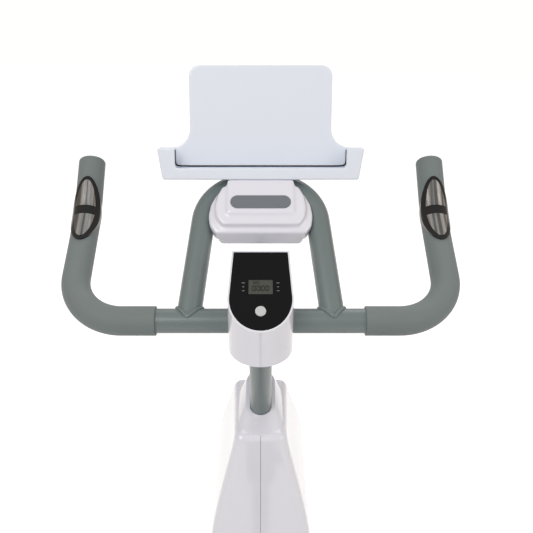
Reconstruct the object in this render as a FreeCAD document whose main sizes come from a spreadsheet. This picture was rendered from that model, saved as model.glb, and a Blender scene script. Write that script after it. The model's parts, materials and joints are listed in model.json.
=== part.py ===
"""Indoor spin bike: welded steel frame, belt-driven flywheel in a two-part shell, sliding posts, tablet handlebar.

Frame: +X to the rider's right, +Y forwards, +Z up. The origin is on the floor under the middle of the bike.
Lengths are millimetres and angles are degrees.
"""
import FreeCAD, Part
import math
import os
import re
import Sketcher

V = FreeCAD.Vector
doc = FreeCAD.newDocument("spin_bike")

SIZES = {
    # overall layout
    "half_length": 530, "floor_gap": 20, "gap": 0.3, "fit": 0.05,
    # stabilizers, base beam and stays
    "stab_r": 25, "stab_wall": 2.5, "front_stab_len": 450, "rear_stab_len": 440,
    "beam_w": 60, "beam_tall": 40, "beam_wall": 3, "cap_len": 26, "cap_lip": 2, "cap_plug": 18,
    "stay_w": 30, "stay_deep": 40, "strut_deep": 60, "stay_foot_y": -400, "stay_lean": 28, "stay_len": 600,
    # transport wheels and levelling feet
    "wheel_r": 28, "wheel_w": 22, "wheel_x": 170, "wheel_lift": 6, "wheel_bolt_r": 5, "ear_thick": 4,
    "foot_x": 190, "foot_r": 20, "foot_pad": 10, "foot_stud_r": 5, "foot_stud_len": 30,
    # flywheel, fork and bearings
    "flywheel_y": 290, "flywheel_z": 320, "flywheel_r": 195, "rim_w": 30, "rim_deep": 28, "web_w": 8,
    "hub_r": 32, "hub_w": 44, "web_hole_r": 24, "web_hole_pcr": 100,
    "leg_x": 37, "leg_thick": 14, "leg_deep": 60, "foot_plate": 8, "crown_gap": 33, "crown_tall": 42,
    "crown_wall": 4,
    "axle_r": 10, "bearing_r": 23.5, "bearing_w": 14, "bearing_race": 4,
    # crank drive
    "crank_y": -60, "crank_z": 335, "crank_len": 170, "crank_x": 92, "crank_thick": 14, "crank_boss_r": 19,
    "crank_eye_r": 14, "crank_web": 24, "bb_r": 29, "bb_len": 92,
    "belt_x": 54, "belt_w": 12, "belt_thick": 3.5, "big_pulley_r": 104, "small_pulley_r": 26,
    "pulley_web": 5, "pulley_rim": 7, "pulley_hub_r": 24,
    # pedals
    "spindle_r": 7, "spindle_len": 104, "pedal_w": 92, "pedal_deep": 84, "pedal_tall": 24, "pedal_bar": 9,
    "pedal_barrel_r": 11, "pedal_web": 6, "strap_rise": 62, "strap_thick": 3, "strap_w": 26,
    "strap_ahead": 24,
    # posts, oval tubes
    "post_w": 30, "post_deep": 70, "post_wall": 2.5, "tube_wall": 2.5, "slide_gap": 0.1, "bush_wall": 2.35,
    "bush_len": 60,
    "head_lean": 15, "head_top": -196, "post_foot_gap": 77.3,
    "seat_lean": 17, "seat_tube_from": 24, "seat_tube_to": 330, "seat_post_from": 150, "seat_post_to": 430,
    "top_beam_deep": 60, "top_beam_lean": 23.5, "top_beam_head_z": 668,
    # saddle carriage
    "sleeve_w": 50, "sleeve_len": 100, "sleeve_wall": 4, "slide_len": 250, "slide_front": -112,
    "stub_r": 11, "stub_y": -300, "stub_tall": 48, "clamp_len": 46, "clamp_w": 48, "clamp_tall": 26,
    "rail_r": 3.5, "rail_x": 20, "rail_len": 150, "saddle_len": 272, "saddle_w": 214, "saddle_nose_w": 62,
    "saddle_base": 10, "saddle_pad": 52, "saddle_rear_y": -436,
    # knobs and brake
    "knob_r": 27, "knob_tall": 30, "knob_neck_r": 13, "knob_neck": 14, "screw_r": 6, "boss_r": 12,
    "boss_len": 14, "head_knob_s": -330, "head_knob_out": 76, "seat_knob_s": 262, "brake_lean": 48, "brake_screw_r": 5,
    "brake_knob_at": 428,
    "brake_gap": 3, "pad_thick": 8, "pad_len": 56, "carrier_thick": 5,
    # handlebar and grips
    "bar_y": 152, "bar_z": 1080, "bar_r": 16, "bar_wall": 2, "arm_x": 246, "corner_r": 68, "arm_one": 174,
    "arm_two": 87, "arm_lean_one": 20, "arm_lean_two": 37, "arm_bend_r": 130, "grip_x": 134,
    "grip_wall": 2.95, "grip_end": 4, "sensor_len": 104, "sensor_half_w": 20, "sensor_rim": 6, "sensor_band": 14,
    "sensor_thick": 2, "plate_thick": 0.8,
    # tablet frame, bracket and tray
    "loop_x": 93, "loop_top_x": 72, "loop_len": 200, "loop_lean": 33, "loop_corner_r": 62,
    "bracket_half": 70, "bracket_front": 60, "bracket_from": 115, "bracket_to": 202, "bracket_low": 14,
    "bracket_step": 22, "bracket_top": 30, "bracket_inset": 9, "neck_w": 90, "neck_from": 138, "neck_to": 206,
    "neck_top": 34, "bracket_wall": 3, "inlay_len": 80, "inlay_w": 19, "inlay_at": 155, "inlay_thick": 2.5,
    "tray_y": 139.5, "tray_z": 131, "tray_lean": 20, "tray_half": 132, "rim_half": 138.5, "tray_tall": 42,
    "lip_tall": 16, "tray_wall": 3, "hook_x": 114, "tray_gap": 18, "plate_half": 95.5, "plate_tall": 150,
    "back_thick": 4, "plate_r": 14, "flare_x": 124, "flare_r": 26,
    # console
    "console_rear": 60, "console_front": 42, "console_w": 82, "console_top_w": 73, "console_low": 26,
    "console_rise": 28, "console_face_lean": 27, "console_wall": 3, "face_thick": 2.5, "face_inset": 2.2,
    "lcd_w": 30, "lcd_deep": 20, "lcd_at": 62, "button_r": 6.6, "button_at": 28,
    "button_proud": 1.6, "button_flange": 1.4, "lcd_sunk": 0.4,
    # shell
    "shell_half": 80, "shell_wall": 3, "shell_seam": 0.5, "wheel_room": 30, "crank_room": 36,
    "shell_mount_r": 7, "shell_mount_drop": 122, "shell_screw_r": 2.5, "shell_screw_len": 18,
    "neck_half": 35, "shell_round": 12, "neck_run": 124, "knee_back": 24, "knee_rise": 87, "knee_r": 16,
    "mouth_rear_in": 26, "mouth_drop": 180, "mouth_front_out": 116,
    "mouth_slope": 20, "bezel_top": -172, "bezel_top_w": 42, "bezel_top_deep": 82, "bezel_w": 64,
}

DERIVED = {
    "tube_w": "(post_w + 2 * (slide_gap + bush_wall + fit + tube_wall))",
    "tube_deep": "(post_deep + 2 * (slide_gap + bush_wall + fit + tube_wall))",
    "crown_z": "(flywheel_z + flywheel_r + crown_gap)",
    "crown_top": "(crown_z + crown_tall)",
    "crown_s": "((bar_z - crown_top) / cos(head_lean))",
    "head_len": "(crown_s + head_top + tube_deep / 2)",
    "bar_post_len": "(crown_s - post_foot_gap)",
    "grip_r": "(bar_r + fit + grip_wall)",
    "shell_wheel_r": "(flywheel_r + wheel_room)",
    "shell_crank_r": "(big_pulley_r + crank_room)",
    "mouth_rear_y": "(bar_y - mouth_rear_in)",
    "mouth_rear_z": "(bar_z - mouth_drop)",
    "mouth_front_y": "(bar_y + mouth_front_out)",
    "mouth_front_z": "(mouth_rear_z - mouth_slope)",
}

sheet = doc.addObject("Spreadsheet::Sheet", "sizes")
for row, (alias, amount) in enumerate(SIZES.items(), start=1):
    sheet.set(f"A{row}", alias)
    sheet.set(f"B{row}", str(amount))
    sheet.setAlias(f"B{row}", alias)
doc.recompute()
ALIAS = re.compile(r"\b(" + "|".join(SIZES) + r")\b")
FORMULA = re.compile(r"\b(" + "|".join(DERIVED) + r")\b")


def expression(text):
    """A formula in size names, as FreeCAD reads it."""
    text = str(text)
    while FORMULA.search(text):
        text = FORMULA.sub(lambda found: DERIVED[found.group()], text)
    return ALIAS.sub(r"sizes.\1", text)


def number(text):
    """The value of the same formula, worked out through the sheet."""
    return float(sheet.evalExpression(expression(text)))


size = {name: number(name) for name in [*SIZES, *DERIVED]}


parts = {}


def keep(obj, node):
    """Marks an object as the sub-part of that name."""
    obj.Label = node
    parts[node] = obj
    return obj


def bind(obj, **formulas):
    for prop, text in formulas.items():
        obj.setExpression(prop, expression(text))
    return obj


def put(obj, x=0, y=0, z=0, turn=None, angle=0):
    """Places an object by formulas, turned about an axis by an angle in degrees."""
    if turn:
        obj.Placement = FreeCAD.Placement(V(), FreeCAD.Rotation(V(*turn), number(angle)))
    for axis, text in zip("xyz", (x, y, z)):
        obj.setExpression(f"Placement.Base.{axis}", expression(text))
    return obj


serial = [0]


def fresh(kind, stem):
    serial[0] += 1
    return doc.addObject(kind, f"{stem}_{serial[0]}")


def box(x, y, z, at=("0", "0", "0")):
    """A box of that size whose lowest corner is at the point."""
    return put(bind(fresh("Part::Box", "box"), Length=x, Width=y, Height=z), *at)


def rod(radius, length, at=("0", "0", "0"), turn=None, angle=0):
    """A cylinder standing on the point along +Z, or turned from there."""
    return put(bind(fresh("Part::Cylinder", "rod"), Radius=radius, Height=length), *at, turn=turn, angle=angle)


def cross_rod(radius, x_from, length, y, z):
    """A cylinder along +X."""
    return rod(radius, length, (x_from, y, z), (0, 1, 0), 90)


def cut(base, tool):
    obj = fresh("Part::Cut", "cut")
    obj.Base, obj.Tool = base, tool
    return obj


def fuse(*shapes):
    obj = fresh("Part::MultiFuse", "fuse")
    obj.Shapes = list(shapes)
    return obj


def common(*shapes):
    obj = fresh("Part::MultiCommon", "common")
    obj.Shapes = list(shapes)
    return obj


def group(*shapes):
    """Several solids that stay separate in one node."""
    obj = fresh("Part::Compound", "group")
    obj.Links = list(shapes)
    return obj


def feature(shape, stem="shape", placement=None):
    """A Part::Feature with a shape worked out in code from the sheet's values."""
    obj = fresh("Part::Feature", stem)
    obj.Shape = shape
    if placement:
        obj.Placement = placement
    return obj


def origin_plane(body, role):
    return [f for f in body.Origin.OriginFeatures if f.Role == role][0]


def sketch_polygon(body, role, points):
    """A closed outline of straight sides whose corners are bound to formulas."""
    sketch = body.newObject("Sketcher::SketchObject", f"{body.Name}_outline")
    sketch.AttachmentSupport = [(origin_plane(body, role), "")]
    sketch.MapMode = "FlatFace"
    corners = [V(number(a), number(b), 0) for a, b in points]
    count = len(corners)
    for i in range(count):
        sketch.addGeometry(Part.LineSegment(corners[i], corners[(i + 1) % count]), False)
    for i in range(count):
        sketch.addConstraint(Sketcher.Constraint("Coincident", i, 2, (i + 1) % count, 1))
    for i, (a, b) in enumerate(points):
        for kind, text in (("DistanceX", a), ("DistanceY", b)):
            here = sketch.addConstraint(Sketcher.Constraint(kind, -1, 1, i, 1, number(text)))
            sketch.setExpression(f"Constraints[{here}]", expression(text))
    return sketch


def turned(stem, points):
    """A body of revolution about its own Z axis, from (radius, height) corners."""
    body = doc.addObject("PartDesign::Body", stem)
    sketch = sketch_polygon(body, "XZ_Plane", points)
    spin = body.newObject("PartDesign::Revolution", f"{body.Name}_spin")
    spin.Profile = sketch
    spin.ReferenceAxis = (sketch, ["V_Axis"])
    spin.Angle = 360
    return body


def padded(stem, role, points, length, midplane=False):
    """A body padded from an outline of straight sides."""
    body = doc.addObject("PartDesign::Body", stem)
    sketch = sketch_polygon(body, role, points)
    pad = body.newObject("PartDesign::Pad", f"{body.Name}_pad")
    pad.Profile = sketch
    pad.Midplane = midplane
    pad.setExpression("Length", expression(length))
    return body


# ---- shared derived formulas ----
STAB_Z = "(floor_gap + stab_r)"
REAR_Y = "(stab_r + cap_lip - half_length)"
WHEEL_Y = "(half_length - wheel_r)"
WHEEL_Z = "(wheel_r + wheel_lift)"
FRONT_Y = "(half_length - 2 * wheel_r - stab_r - 3)"
BEAM_TOP = f"({STAB_Z} + beam_tall / 2)"
HEAD_AT = ("0", "bar_y", "bar_z")
CRANK_AT = ("0", "crank_y", "crank_z")
X_AXIS = (1, 0, 0)
Y_AXIS = (0, 1, 0)


def both(make):
    """The same piece on the left and on the right, as separate shapes."""
    return [make(-1), make(1)]


def oval(wide, deep, low, tall):
    """A flat-sided oval bar along Z, its long way along Y."""
    core = box(wide, f"{deep} - {wide}", tall, (f"-({wide}) / 2", f"-({deep} - {wide}) / 2", low))
    ends = [rod(f"{wide} / 2", tall, ("0", f"{side} * ({deep} - {wide}) / 2", low)) for side in (-1, 1)]
    return fuse(core, *ends)


def oval_tube(wide, deep, wall, low, tall):
    return cut(oval(wide, deep, low, tall), oval(f"({wide} - 2 * {wall})", f"({deep} - 2 * {wall})", low, tall))


def square_tube(wide, deep, tall, at, wall, along="z"):
    """A rectangular tube whose lowest corner is at the point, open along one axis."""
    spans = dict(zip("xyz", (wide, deep, tall)))
    starts = dict(zip("xyz", at))
    for axis in "xyz":
        if axis != along:
            spans[axis], starts[axis] = f"{spans[axis]} - 2 * {wall}", f"{starts[axis]} + {wall}"
    return cut(box(wide, deep, tall, at), box(*spans.values(), tuple(starts.values())))


def lean(obj, at, angle):
    """Leans a piece made along Z about X, its local origin at a point."""
    return put(group(obj), *at, turn=X_AXIS, angle=angle)


# ---- base: stabilizers, beam, end caps, wheels, feet ----
def stabilizer(length, y):
    tube = cut(cross_rod("stab_r", f"-{length} / 2", length, y, STAB_Z),
               cross_rod("stab_r - stab_wall", f"-{length} / 2", length, y, STAB_Z))
    return tube


def foot_nut(side):
    return rod("foot_stud_r + 4", "floor_gap - foot_pad", (f"{side} * foot_x", REAR_Y, "foot_pad + 2"))


def foot_hole(side):
    return rod("foot_stud_r + gap", "floor_gap + stab_r", (f"{side} * foot_x", REAR_Y, "foot_pad"))


rear_tube = stabilizer("rear_stab_len", REAR_Y)
nuts = cut(fuse(*both(foot_nut)), cross_rod("stab_r - stab_wall / 2", "-rear_stab_len / 2", "rear_stab_len",
                                            REAR_Y, STAB_Z))
rear_stabilizer = cut(fuse(rear_tube, nuts), fuse(*both(foot_hole)))

beam_length = f"({FRONT_Y} - {REAR_Y})"
beam = cut(box("beam_w", beam_length, "beam_tall", ("-beam_w / 2", REAR_Y, f"{STAB_Z} - beam_tall / 2")),
           box("beam_w - 2 * beam_wall", beam_length, "beam_tall - 2 * beam_wall",
               ("beam_wall - beam_w / 2", REAR_Y, f"{STAB_Z} - beam_tall / 2 + beam_wall")))
beam_seats = fuse(cross_rod("stab_r", "-beam_w", "2 * beam_w", FRONT_Y, STAB_Z),
                  cross_rod("stab_r", "-beam_w", "2 * beam_w", REAR_Y, STAB_Z))
keep(cut(beam, beam_seats), "base_beam")


def end_cap(length, y, side, foot):
    """A moulded cap with a plug in the tube; the front ones stand on a moulded foot."""
    start = f"{length} / 2" if side > 0 else f"-{length} / 2 - cap_len"
    plug_from = f"{length} / 2 - cap_plug" if side > 0 else f"-{length} / 2"
    pieces = [cross_rod("stab_r + cap_lip", start, "cap_len", y, STAB_Z),
              cross_rod("stab_r - stab_wall - fit", plug_from, "cap_plug", y, STAB_Z)]
    if foot:
        pieces.append(box("cap_len", "1.5 * stab_r", STAB_Z, (start, f"{y} - 0.75 * stab_r", "0")))
    return fuse(*pieces)


keep(group(*both(lambda side: end_cap("front_stab_len", FRONT_Y, side, True)),
           *both(lambda side: end_cap("rear_stab_len", REAR_Y, side, False))), "stabilizer_end_caps")


def wheel_bracket(side):
    """Two welded ears and the bolt that carries a transport wheel."""
    middle = f"{side} * wheel_x"
    reach = f"({WHEEL_Y} - {FRONT_Y} + 2 * wheel_bolt_r)"
    ears = [box("ear_thick", reach, "4 * wheel_bolt_r",
                (f"{middle} + {hand} * (wheel_w / 2 + 1) {'- ear_thick' if hand < 0 else ''}", FRONT_Y,
                 f"{WHEEL_Z} - 2 * wheel_bolt_r")) for hand in (-1, 1)]
    bolt = cross_rod("wheel_bolt_r", f"{middle} - wheel_w / 2 - 1 - ear_thick", "wheel_w + 2 + 2 * ear_thick",
                     WHEEL_Y, WHEEL_Z)
    seat = cross_rod("stab_r", f"{middle} - wheel_w", "2 * wheel_w", FRONT_Y, STAB_Z)
    return cut(fuse(*ears, bolt), seat)


keep(group(stabilizer("front_stab_len", FRONT_Y), rear_stabilizer, *both(wheel_bracket)), "stabilizers")


def transport_wheel(side, node):
    wheel = turned(node, [("wheel_bolt_r + fit", "-wheel_w / 2"), ("wheel_r - 3", "-wheel_w / 2"),
                          ("wheel_r", "3 - wheel_w / 2"), ("wheel_r", "wheel_w / 2 - 3"),
                          ("wheel_r - 3", "wheel_w / 2"), ("wheel_bolt_r + fit", "wheel_w / 2")])
    keep(put(wheel, f"{side} * wheel_x", WHEEL_Y, WHEEL_Z, Y_AXIS, 90), node)


transport_wheel(-1, "transport_wheel_left")
transport_wheel(1, "transport_wheel_right")


def levelling_foot(side, node):
    foot = turned(node, [("0", "0"), ("foot_r", "0"), ("foot_r", "foot_pad - 3"), ("foot_r - 5", "foot_pad"),
                         ("foot_stud_r", "foot_pad"), ("foot_stud_r", "foot_pad + foot_stud_len"),
                         ("0", "foot_pad + foot_stud_len")])
    keep(put(foot, f"{side} * foot_x", REAR_Y, "0"), node)


levelling_foot(-1, "levelling_foot_left")
levelling_foot(1, "levelling_foot_right")

# ---- fork, head tube, seat tube, beam and stays ----
crown_deep = "(leg_deep + 34)"


def side_block(side):
    """Everything on one side of the middle plane."""
    return box("400", "1600", "1600", ("-400" if side < 0 else "0", "-800", "0"))


def shell_mount(y, z):
    """A cross tube between the shell's halves, tapped at both ends for the shell screws."""
    reach = "(shell_half - shell_wall)"
    tapped = [cross_rod("shell_screw_r + fit", f"{start}", "shell_screw_len + 1", y, z)
              for start in (f"-{reach}", f"{reach} - shell_screw_len - 1")]
    return cut(cross_rod("shell_mount_r", f"-{reach}", f"2 * {reach}", y, z), fuse(*tapped))



def fork_leg(side):
    start = "leg_x" if side > 0 else "-leg_x - leg_thick"
    leg = box("leg_thick", "leg_deep", f"crown_z - {BEAM_TOP} - foot_plate",
              (start, "flywheel_y - leg_deep / 2", f"{BEAM_TOP} + foot_plate"))
    return cut(leg, cross_rod("bearing_r", start, "leg_thick", "flywheel_y", "flywheel_z"))


leg_span = "2 * (leg_x + leg_thick)"
foot_plate = box(leg_span, "leg_deep", "foot_plate", ("-(leg_x + leg_thick)", "flywheel_y - leg_deep / 2", BEAM_TOP))
crown_at = ("-(leg_x + leg_thick)", f"flywheel_y - 7 - {crown_deep} / 2", "crown_z")
crown_outer = box(leg_span, crown_deep, "crown_tall", crown_at)
crown = square_tube(leg_span, crown_deep, "crown_tall", crown_at, "crown_wall", "y")
crown_mount = cut(shell_mount("flywheel_y", "crown_z + crown_tall / 2"), crown_outer)
keep(group(*both(fork_leg), foot_plate, crown, *both(lambda side: cut(crown_mount, side_block(-side)))), "flywheel_fork")

below_crown = box("200", "600", "400", ("-100", "0", f"crown_top - 400"))
head_knob_boss = put(rod("boss_r", "boss_len + tube_wall"), "0", "tube_deep / 2 - tube_wall", "head_knob_s", X_AXIS, -90)
head_knob_bore = put(rod("screw_r + fit", "boss_len + tube_wall + 20"), "0", "tube_deep / 2 - tube_wall - 10",
                     "head_knob_s", X_AXIS, -90)
head_blank = fuse(oval("tube_w", "tube_deep", "head_top - head_len", "head_len"), head_knob_boss)
head_hollow = oval("(tube_w - 2 * tube_wall)", "(tube_deep - 2 * tube_wall)", "head_top - head_len", "head_len")
head_tube_local = lean(cut(cut(head_blank, head_hollow), head_knob_bore), HEAD_AT, "head_lean")
keep(cut(head_tube_local, below_crown), "head_tube")
head_solid = lean(oval("tube_w", "tube_deep", "head_top - head_len", "head_len"), HEAD_AT, "head_lean")

seat_len = "(seat_tube_to - seat_tube_from)"
seat_knob_boss = put(rod("boss_r", "boss_len + tube_wall"), "0", "tube_wall - tube_deep / 2", "seat_knob_s", X_AXIS, 90)
seat_knob_bore = put(rod("screw_r + fit", "boss_len + tube_wall + 20"), "0", "tube_wall + 10 - tube_deep / 2",
                     "seat_knob_s", X_AXIS, 90)
seat_blank = fuse(oval("tube_w", "tube_deep", "seat_tube_from", seat_len), seat_knob_boss)
seat_hollow = oval("(tube_w - 2 * tube_wall)", "(tube_deep - 2 * tube_wall)", "seat_tube_from", seat_len)
seat_tube_local = lean(cut(cut(seat_blank, seat_hollow), seat_knob_bore), CRANK_AT, "seat_lean")
bb_solid = cross_rod("bb_r", "-bb_len", "2 * bb_len", "crank_y", "crank_z")
keep(cut(seat_tube_local, bb_solid), "seat_tube")
seat_solid = lean(oval("tube_w", "tube_deep", "seat_tube_from", seat_len), CRANK_AT, "seat_lean")

bb = cut(cross_rod("bb_r", "-bb_len / 2", "bb_len", "crank_y", "crank_z"),
         cross_rod("bearing_r", "-bb_len / 2", "bb_len", "crank_y", "crank_z"))
keep(bb, "bottom_bracket")

STRUT_MOUNT_Z = "(crank_z - shell_mount_drop)"
strut_tall = f"(crank_z - {BEAM_TOP})"
strut_blank = square_tube("stay_w", "strut_deep", strut_tall, ("-stay_w / 2", "crank_y - strut_deep / 2", BEAM_TOP),
                          "tube_wall")
mount = shell_mount("crank_y", STRUT_MOUNT_Z)
mount_space = cross_rod("shell_mount_r", "-stay_w", "2 * stay_w", "crank_y", STRUT_MOUNT_Z)
strut = cut(strut_blank, fuse(bb_solid, mount_space))
stay = lean(square_tube("stay_w", "stay_deep", "stay_len", ("-stay_w / 2", "-stay_deep / 2", "-40"), "tube_wall"),
            ("0", "stay_foot_y", BEAM_TOP), "-stay_lean")
floor_block = box("200", "400", BEAM_TOP, ("-100", "stay_foot_y - 200", "0"))
keep(group(strut, mount, cut(cut(stay, floor_block), seat_solid)), "frame_stays")

beam_point = "(bar_y + (bar_z - top_beam_head_z) * tan(head_lean))"
beam_drop = f"({beam_point} - crank_y + (top_beam_head_z - crank_z) * tan(seat_lean))"
beam_reach = f"({beam_drop} / (cos(top_beam_lean) + sin(top_beam_lean) * tan(seat_lean)))"
top_beam_tube = square_tube("tube_w", beam_reach, "top_beam_deep",
                            ("-tube_w / 2", f"-{beam_reach}", "-top_beam_deep / 2"), "tube_wall", "y")
top_beam_blank = lean(top_beam_tube, ("0", beam_point, "top_beam_head_z"), "top_beam_lean")
brake_at = ("0", "flywheel_y", "flywheel_z")
brake_hole = lean(rod("brake_screw_r + fit", "brake_knob_at", ("0", "0", "20")), brake_at, "brake_lean")
keep(cut(cut(cut(top_beam_blank, head_solid), seat_solid), brake_hole), "top_beam")


def post_bushes():
    """A plastic sleeve in the mouth of each tube, with the post sliding in it."""
    outer = ("(tube_w - 2 * tube_wall - 2 * fit)", "(tube_deep - 2 * tube_wall - 2 * fit)")
    inner = ("(post_w + 2 * slide_gap)", "(post_deep + 2 * slide_gap)")
    made = []
    for top, at, angle in (("head_top", HEAD_AT, "head_lean"), ("seat_tube_to", CRANK_AT, "seat_lean")):
        ring = cut(oval(*outer, f"{top} - bush_len", "bush_len"), oval(*inner, f"{top} - bush_len", "bush_len"))
        made.append(lean(ring, at, angle))
    return group(*made)


keep(post_bushes(), "post_bushes")


# ---- bearings, flywheel, pulleys, belt ----
def bearing(x, y, z):
    ring = turned("bearing", [("axle_r", "0"), ("axle_r + bearing_race", "0"), ("axle_r + bearing_race", "1"),
                              ("bearing_r - bearing_race", "1"), ("bearing_r - bearing_race", "0"),
                              ("bearing_r - fit", "0"), ("bearing_r - fit", "bearing_w"), ("axle_r", "bearing_w")])
    return put(ring, x, y, z, Y_AXIS, 90)


keep(group(*[bearing(x, y, z) for x, y, z in (
    ("leg_x", "flywheel_y", "flywheel_z"), ("-leg_x - bearing_w", "flywheel_y", "flywheel_z"),
    ("bb_len / 2 - bearing_w", "crank_y", "crank_z"), ("-bb_len / 2", "crank_y", "crank_z"))]), "bearings")

wheel_profile = [("axle_r", "-hub_w / 2"), ("hub_r", "-hub_w / 2"), ("hub_r", "-web_w / 2"),
                 ("flywheel_r - rim_deep", "-web_w / 2"), ("flywheel_r - rim_deep", "-rim_w / 2"),
                 ("flywheel_r", "-rim_w / 2"), ("flywheel_r", "rim_w / 2"),
                 ("flywheel_r - rim_deep", "rim_w / 2"), ("flywheel_r - rim_deep", "web_w / 2"),
                 ("hub_r", "web_w / 2"), ("hub_r", "hub_w / 2"), ("axle_r", "hub_w / 2")]
web_holes = fuse(*[rod("web_hole_r", "web_w", (f"web_hole_pcr * cos({60 * k})", f"web_hole_pcr * sin({60 * k})",
                                              "-web_w / 2")) for k in range(6)])
keep(put(cut(turned("flywheel_blank", wheel_profile), web_holes), *brake_at, Y_AXIS, 90), "flywheel")
keep(cross_rod("axle_r - fit", "-leg_x - leg_thick - 4", "leg_x + leg_thick + 4 + belt_x + belt_w + 4", "flywheel_y",
               "flywheel_z"), "flywheel_axle")
driven = turned("driven_pulley", [("axle_r", "0"), ("small_pulley_r", "0"), ("small_pulley_r", "belt_w"),
                                  ("axle_r", "belt_w")])
keep(put(driven, "belt_x", "flywheel_y", "flywheel_z", Y_AXIS, 90), "driven_pulley")
web_low, web_high = "(belt_w - pulley_web) / 2", "(belt_w + pulley_web) / 2"
drive = turned("drive_pulley", [("axle_r", "0"), ("pulley_hub_r", "0"), ("pulley_hub_r", web_low),
                                ("big_pulley_r - pulley_rim", web_low), ("big_pulley_r - pulley_rim", "0"),
                                ("big_pulley_r", "0"), ("big_pulley_r", "belt_w"),
                                ("big_pulley_r - pulley_rim", "belt_w"), ("big_pulley_r - pulley_rim", web_high),
                                ("pulley_hub_r", web_high), ("pulley_hub_r", "belt_w"), ("axle_r", "belt_w")])
keep(put(drive, "belt_x", "crank_y", "crank_z", Y_AXIS, 90), "drive_pulley")


def loop_face(extra):
    """The area inside a belt run round both pulleys, in the YZ plane."""
    big, small = size["big_pulley_r"] + extra, size["small_pulley_r"] + extra
    a, b = V(0, size["crank_y"], size["crank_z"]), V(0, size["flywheel_y"], size["flywheel_z"])
    along = (b - a).normalize()
    across = V(0, -along.z, along.y)
    tip = math.asin((big - small) / (b - a).Length)
    up = across * math.cos(tip) + along * math.sin(tip)
    down = across * -math.cos(tip) + along * math.sin(tip)
    edges = [Part.LineSegment(a + up * big, b + up * small).toShape(),
             Part.Arc(b + up * small, b + along * small, b + down * small).toShape(),
             Part.LineSegment(b + down * small, a + down * big).toShape(),
             Part.Arc(a + down * big, a - along * big, a + up * big).toShape()]
    return Part.Face(Part.Wire(edges))


belt_outer = loop_face(size["gap"] + size["belt_thick"]).extrude(V(size["belt_w"], 0, 0))
belt_inner = loop_face(size["gap"]).extrude(V(size["belt_w"], 0, 0))
keep(feature(belt_outer.cut(belt_inner), "belt", FreeCAD.Placement(V(size["belt_x"], 0, 0), FreeCAD.Rotation())),
     "drive_belt")

# ---- cranks and pedals ----
crank_out = "(crank_x + crank_thick)"
keep(cross_rod("axle_r - fit", f"-{crank_out}", f"2 * {crank_out}", "crank_y", "crank_z"), "crank_axle")


def crank_arm(side):
    start = "crank_x" if side > 0 else f"-{crank_out}"
    eye_y = f"(crank_y + {side} * crank_len)"
    low_y = "crank_y" if side > 0 else eye_y
    arm = fuse(cross_rod("crank_boss_r", start, "crank_thick", "crank_y", "crank_z"),
               cross_rod("crank_eye_r", start, "crank_thick", eye_y, "crank_z"),
               box("crank_thick", "crank_len", "crank_web", (start, low_y, "crank_z - crank_web / 2")))
    holes = fuse(cross_rod("axle_r", start, "crank_thick", "crank_y", "crank_z"),
                 cross_rod("spindle_r + fit", start, "crank_thick", eye_y, "crank_z"))
    return cut(arm, holes)


keep(crank_arm(-1), "crank_arm_left")
keep(crank_arm(1), "crank_arm_right")
keep(group(*both(lambda side: cross_rod("crank_boss_r - 4", crank_out if side > 0 else f"-{crank_out} - 4", "4",
                                        "crank_y", "crank_z"))), "crank_caps")


def spindle(side):
    start = "crank_x" if side > 0 else "-crank_x - crank_thick - spindle_len"
    return cross_rod("spindle_r", start, "crank_thick + spindle_len", f"crank_y + {side} * crank_len", "crank_z")


keep(group(*both(spindle)), "pedal_spindles")
pedal_in = f"({crank_out} + 7)"


def pedal(side):
    """A pedal frame: barrel, two side plates and two treads."""
    start = pedal_in if side > 0 else f"-({pedal_in} + pedal_w)"
    y = f"(crank_y + {side} * crank_len)"
    low = "crank_z - pedal_tall / 2"
    plates = [box("pedal_bar", "pedal_deep", "pedal_tall", (x, f"{y} - pedal_deep / 2", low))
              for x in (start, f"{start} + pedal_w - pedal_bar")]
    treads = [box("pedal_w", "pedal_bar", "pedal_tall", (start, f"{y} {place}", low))
              for place in ("- pedal_deep / 2", "+ pedal_deep / 2 - pedal_bar")]
    barrel = cross_rod("pedal_barrel_r", start, "pedal_w", y, "crank_z")
    web = box("pedal_w", "pedal_deep", "pedal_web", (start, f"{y} - pedal_deep / 2", "crank_z - pedal_web / 2"))
    return cut(fuse(barrel, web, *plates, *treads), cross_rod("spindle_r + fit", start, "pedal_w", y, "crank_z"))


def toe_strap(side):
    """A band that arches over the foot from one side plate to the other."""
    wide, rise, thick, deep = (size[k] for k in ("pedal_w", "strap_rise", "strap_thick", "strap_w"))
    drop = size["pedal_tall"] / 2 + 4
    bend = rise / 2
    pieces = []
    for grow in (thick, 0):
        block = Part.makeBox(wide + 2 * grow, deep, rise + drop + grow, V(-wide / 2 - grow, -deep / 2, -drop))
        top = rise + grow
        edges = [e for e in block.Edges if abs(e.CenterOfMass.z - top) < 0.1 and abs(e.CenterOfMass.y) < 0.1]
        pieces.append(block.makeFillet(bend + grow, edges))
    below = Part.makeBox(wide + 40, deep + 2, drop, V(-wide / 2 - 20, -deep / 2 - 1, -2 * drop))
    middle = number(f"{pedal_in} + pedal_w / 2")
    at = V(side * middle, size["crank_y"] + side * size["crank_len"] + size["strap_ahead"],
           size["crank_z"] + size["pedal_tall"] / 2)
    return feature(pieces[0].cut(pieces[1]).cut(below), "strap", FreeCAD.Placement(at, FreeCAD.Rotation()))


for side, hand in ((-1, "left"), (1, "right")):
    keep(pedal(side), f"pedal_{hand}")
    keep(toe_strap(side), f"toe_strap_{hand}")


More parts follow.
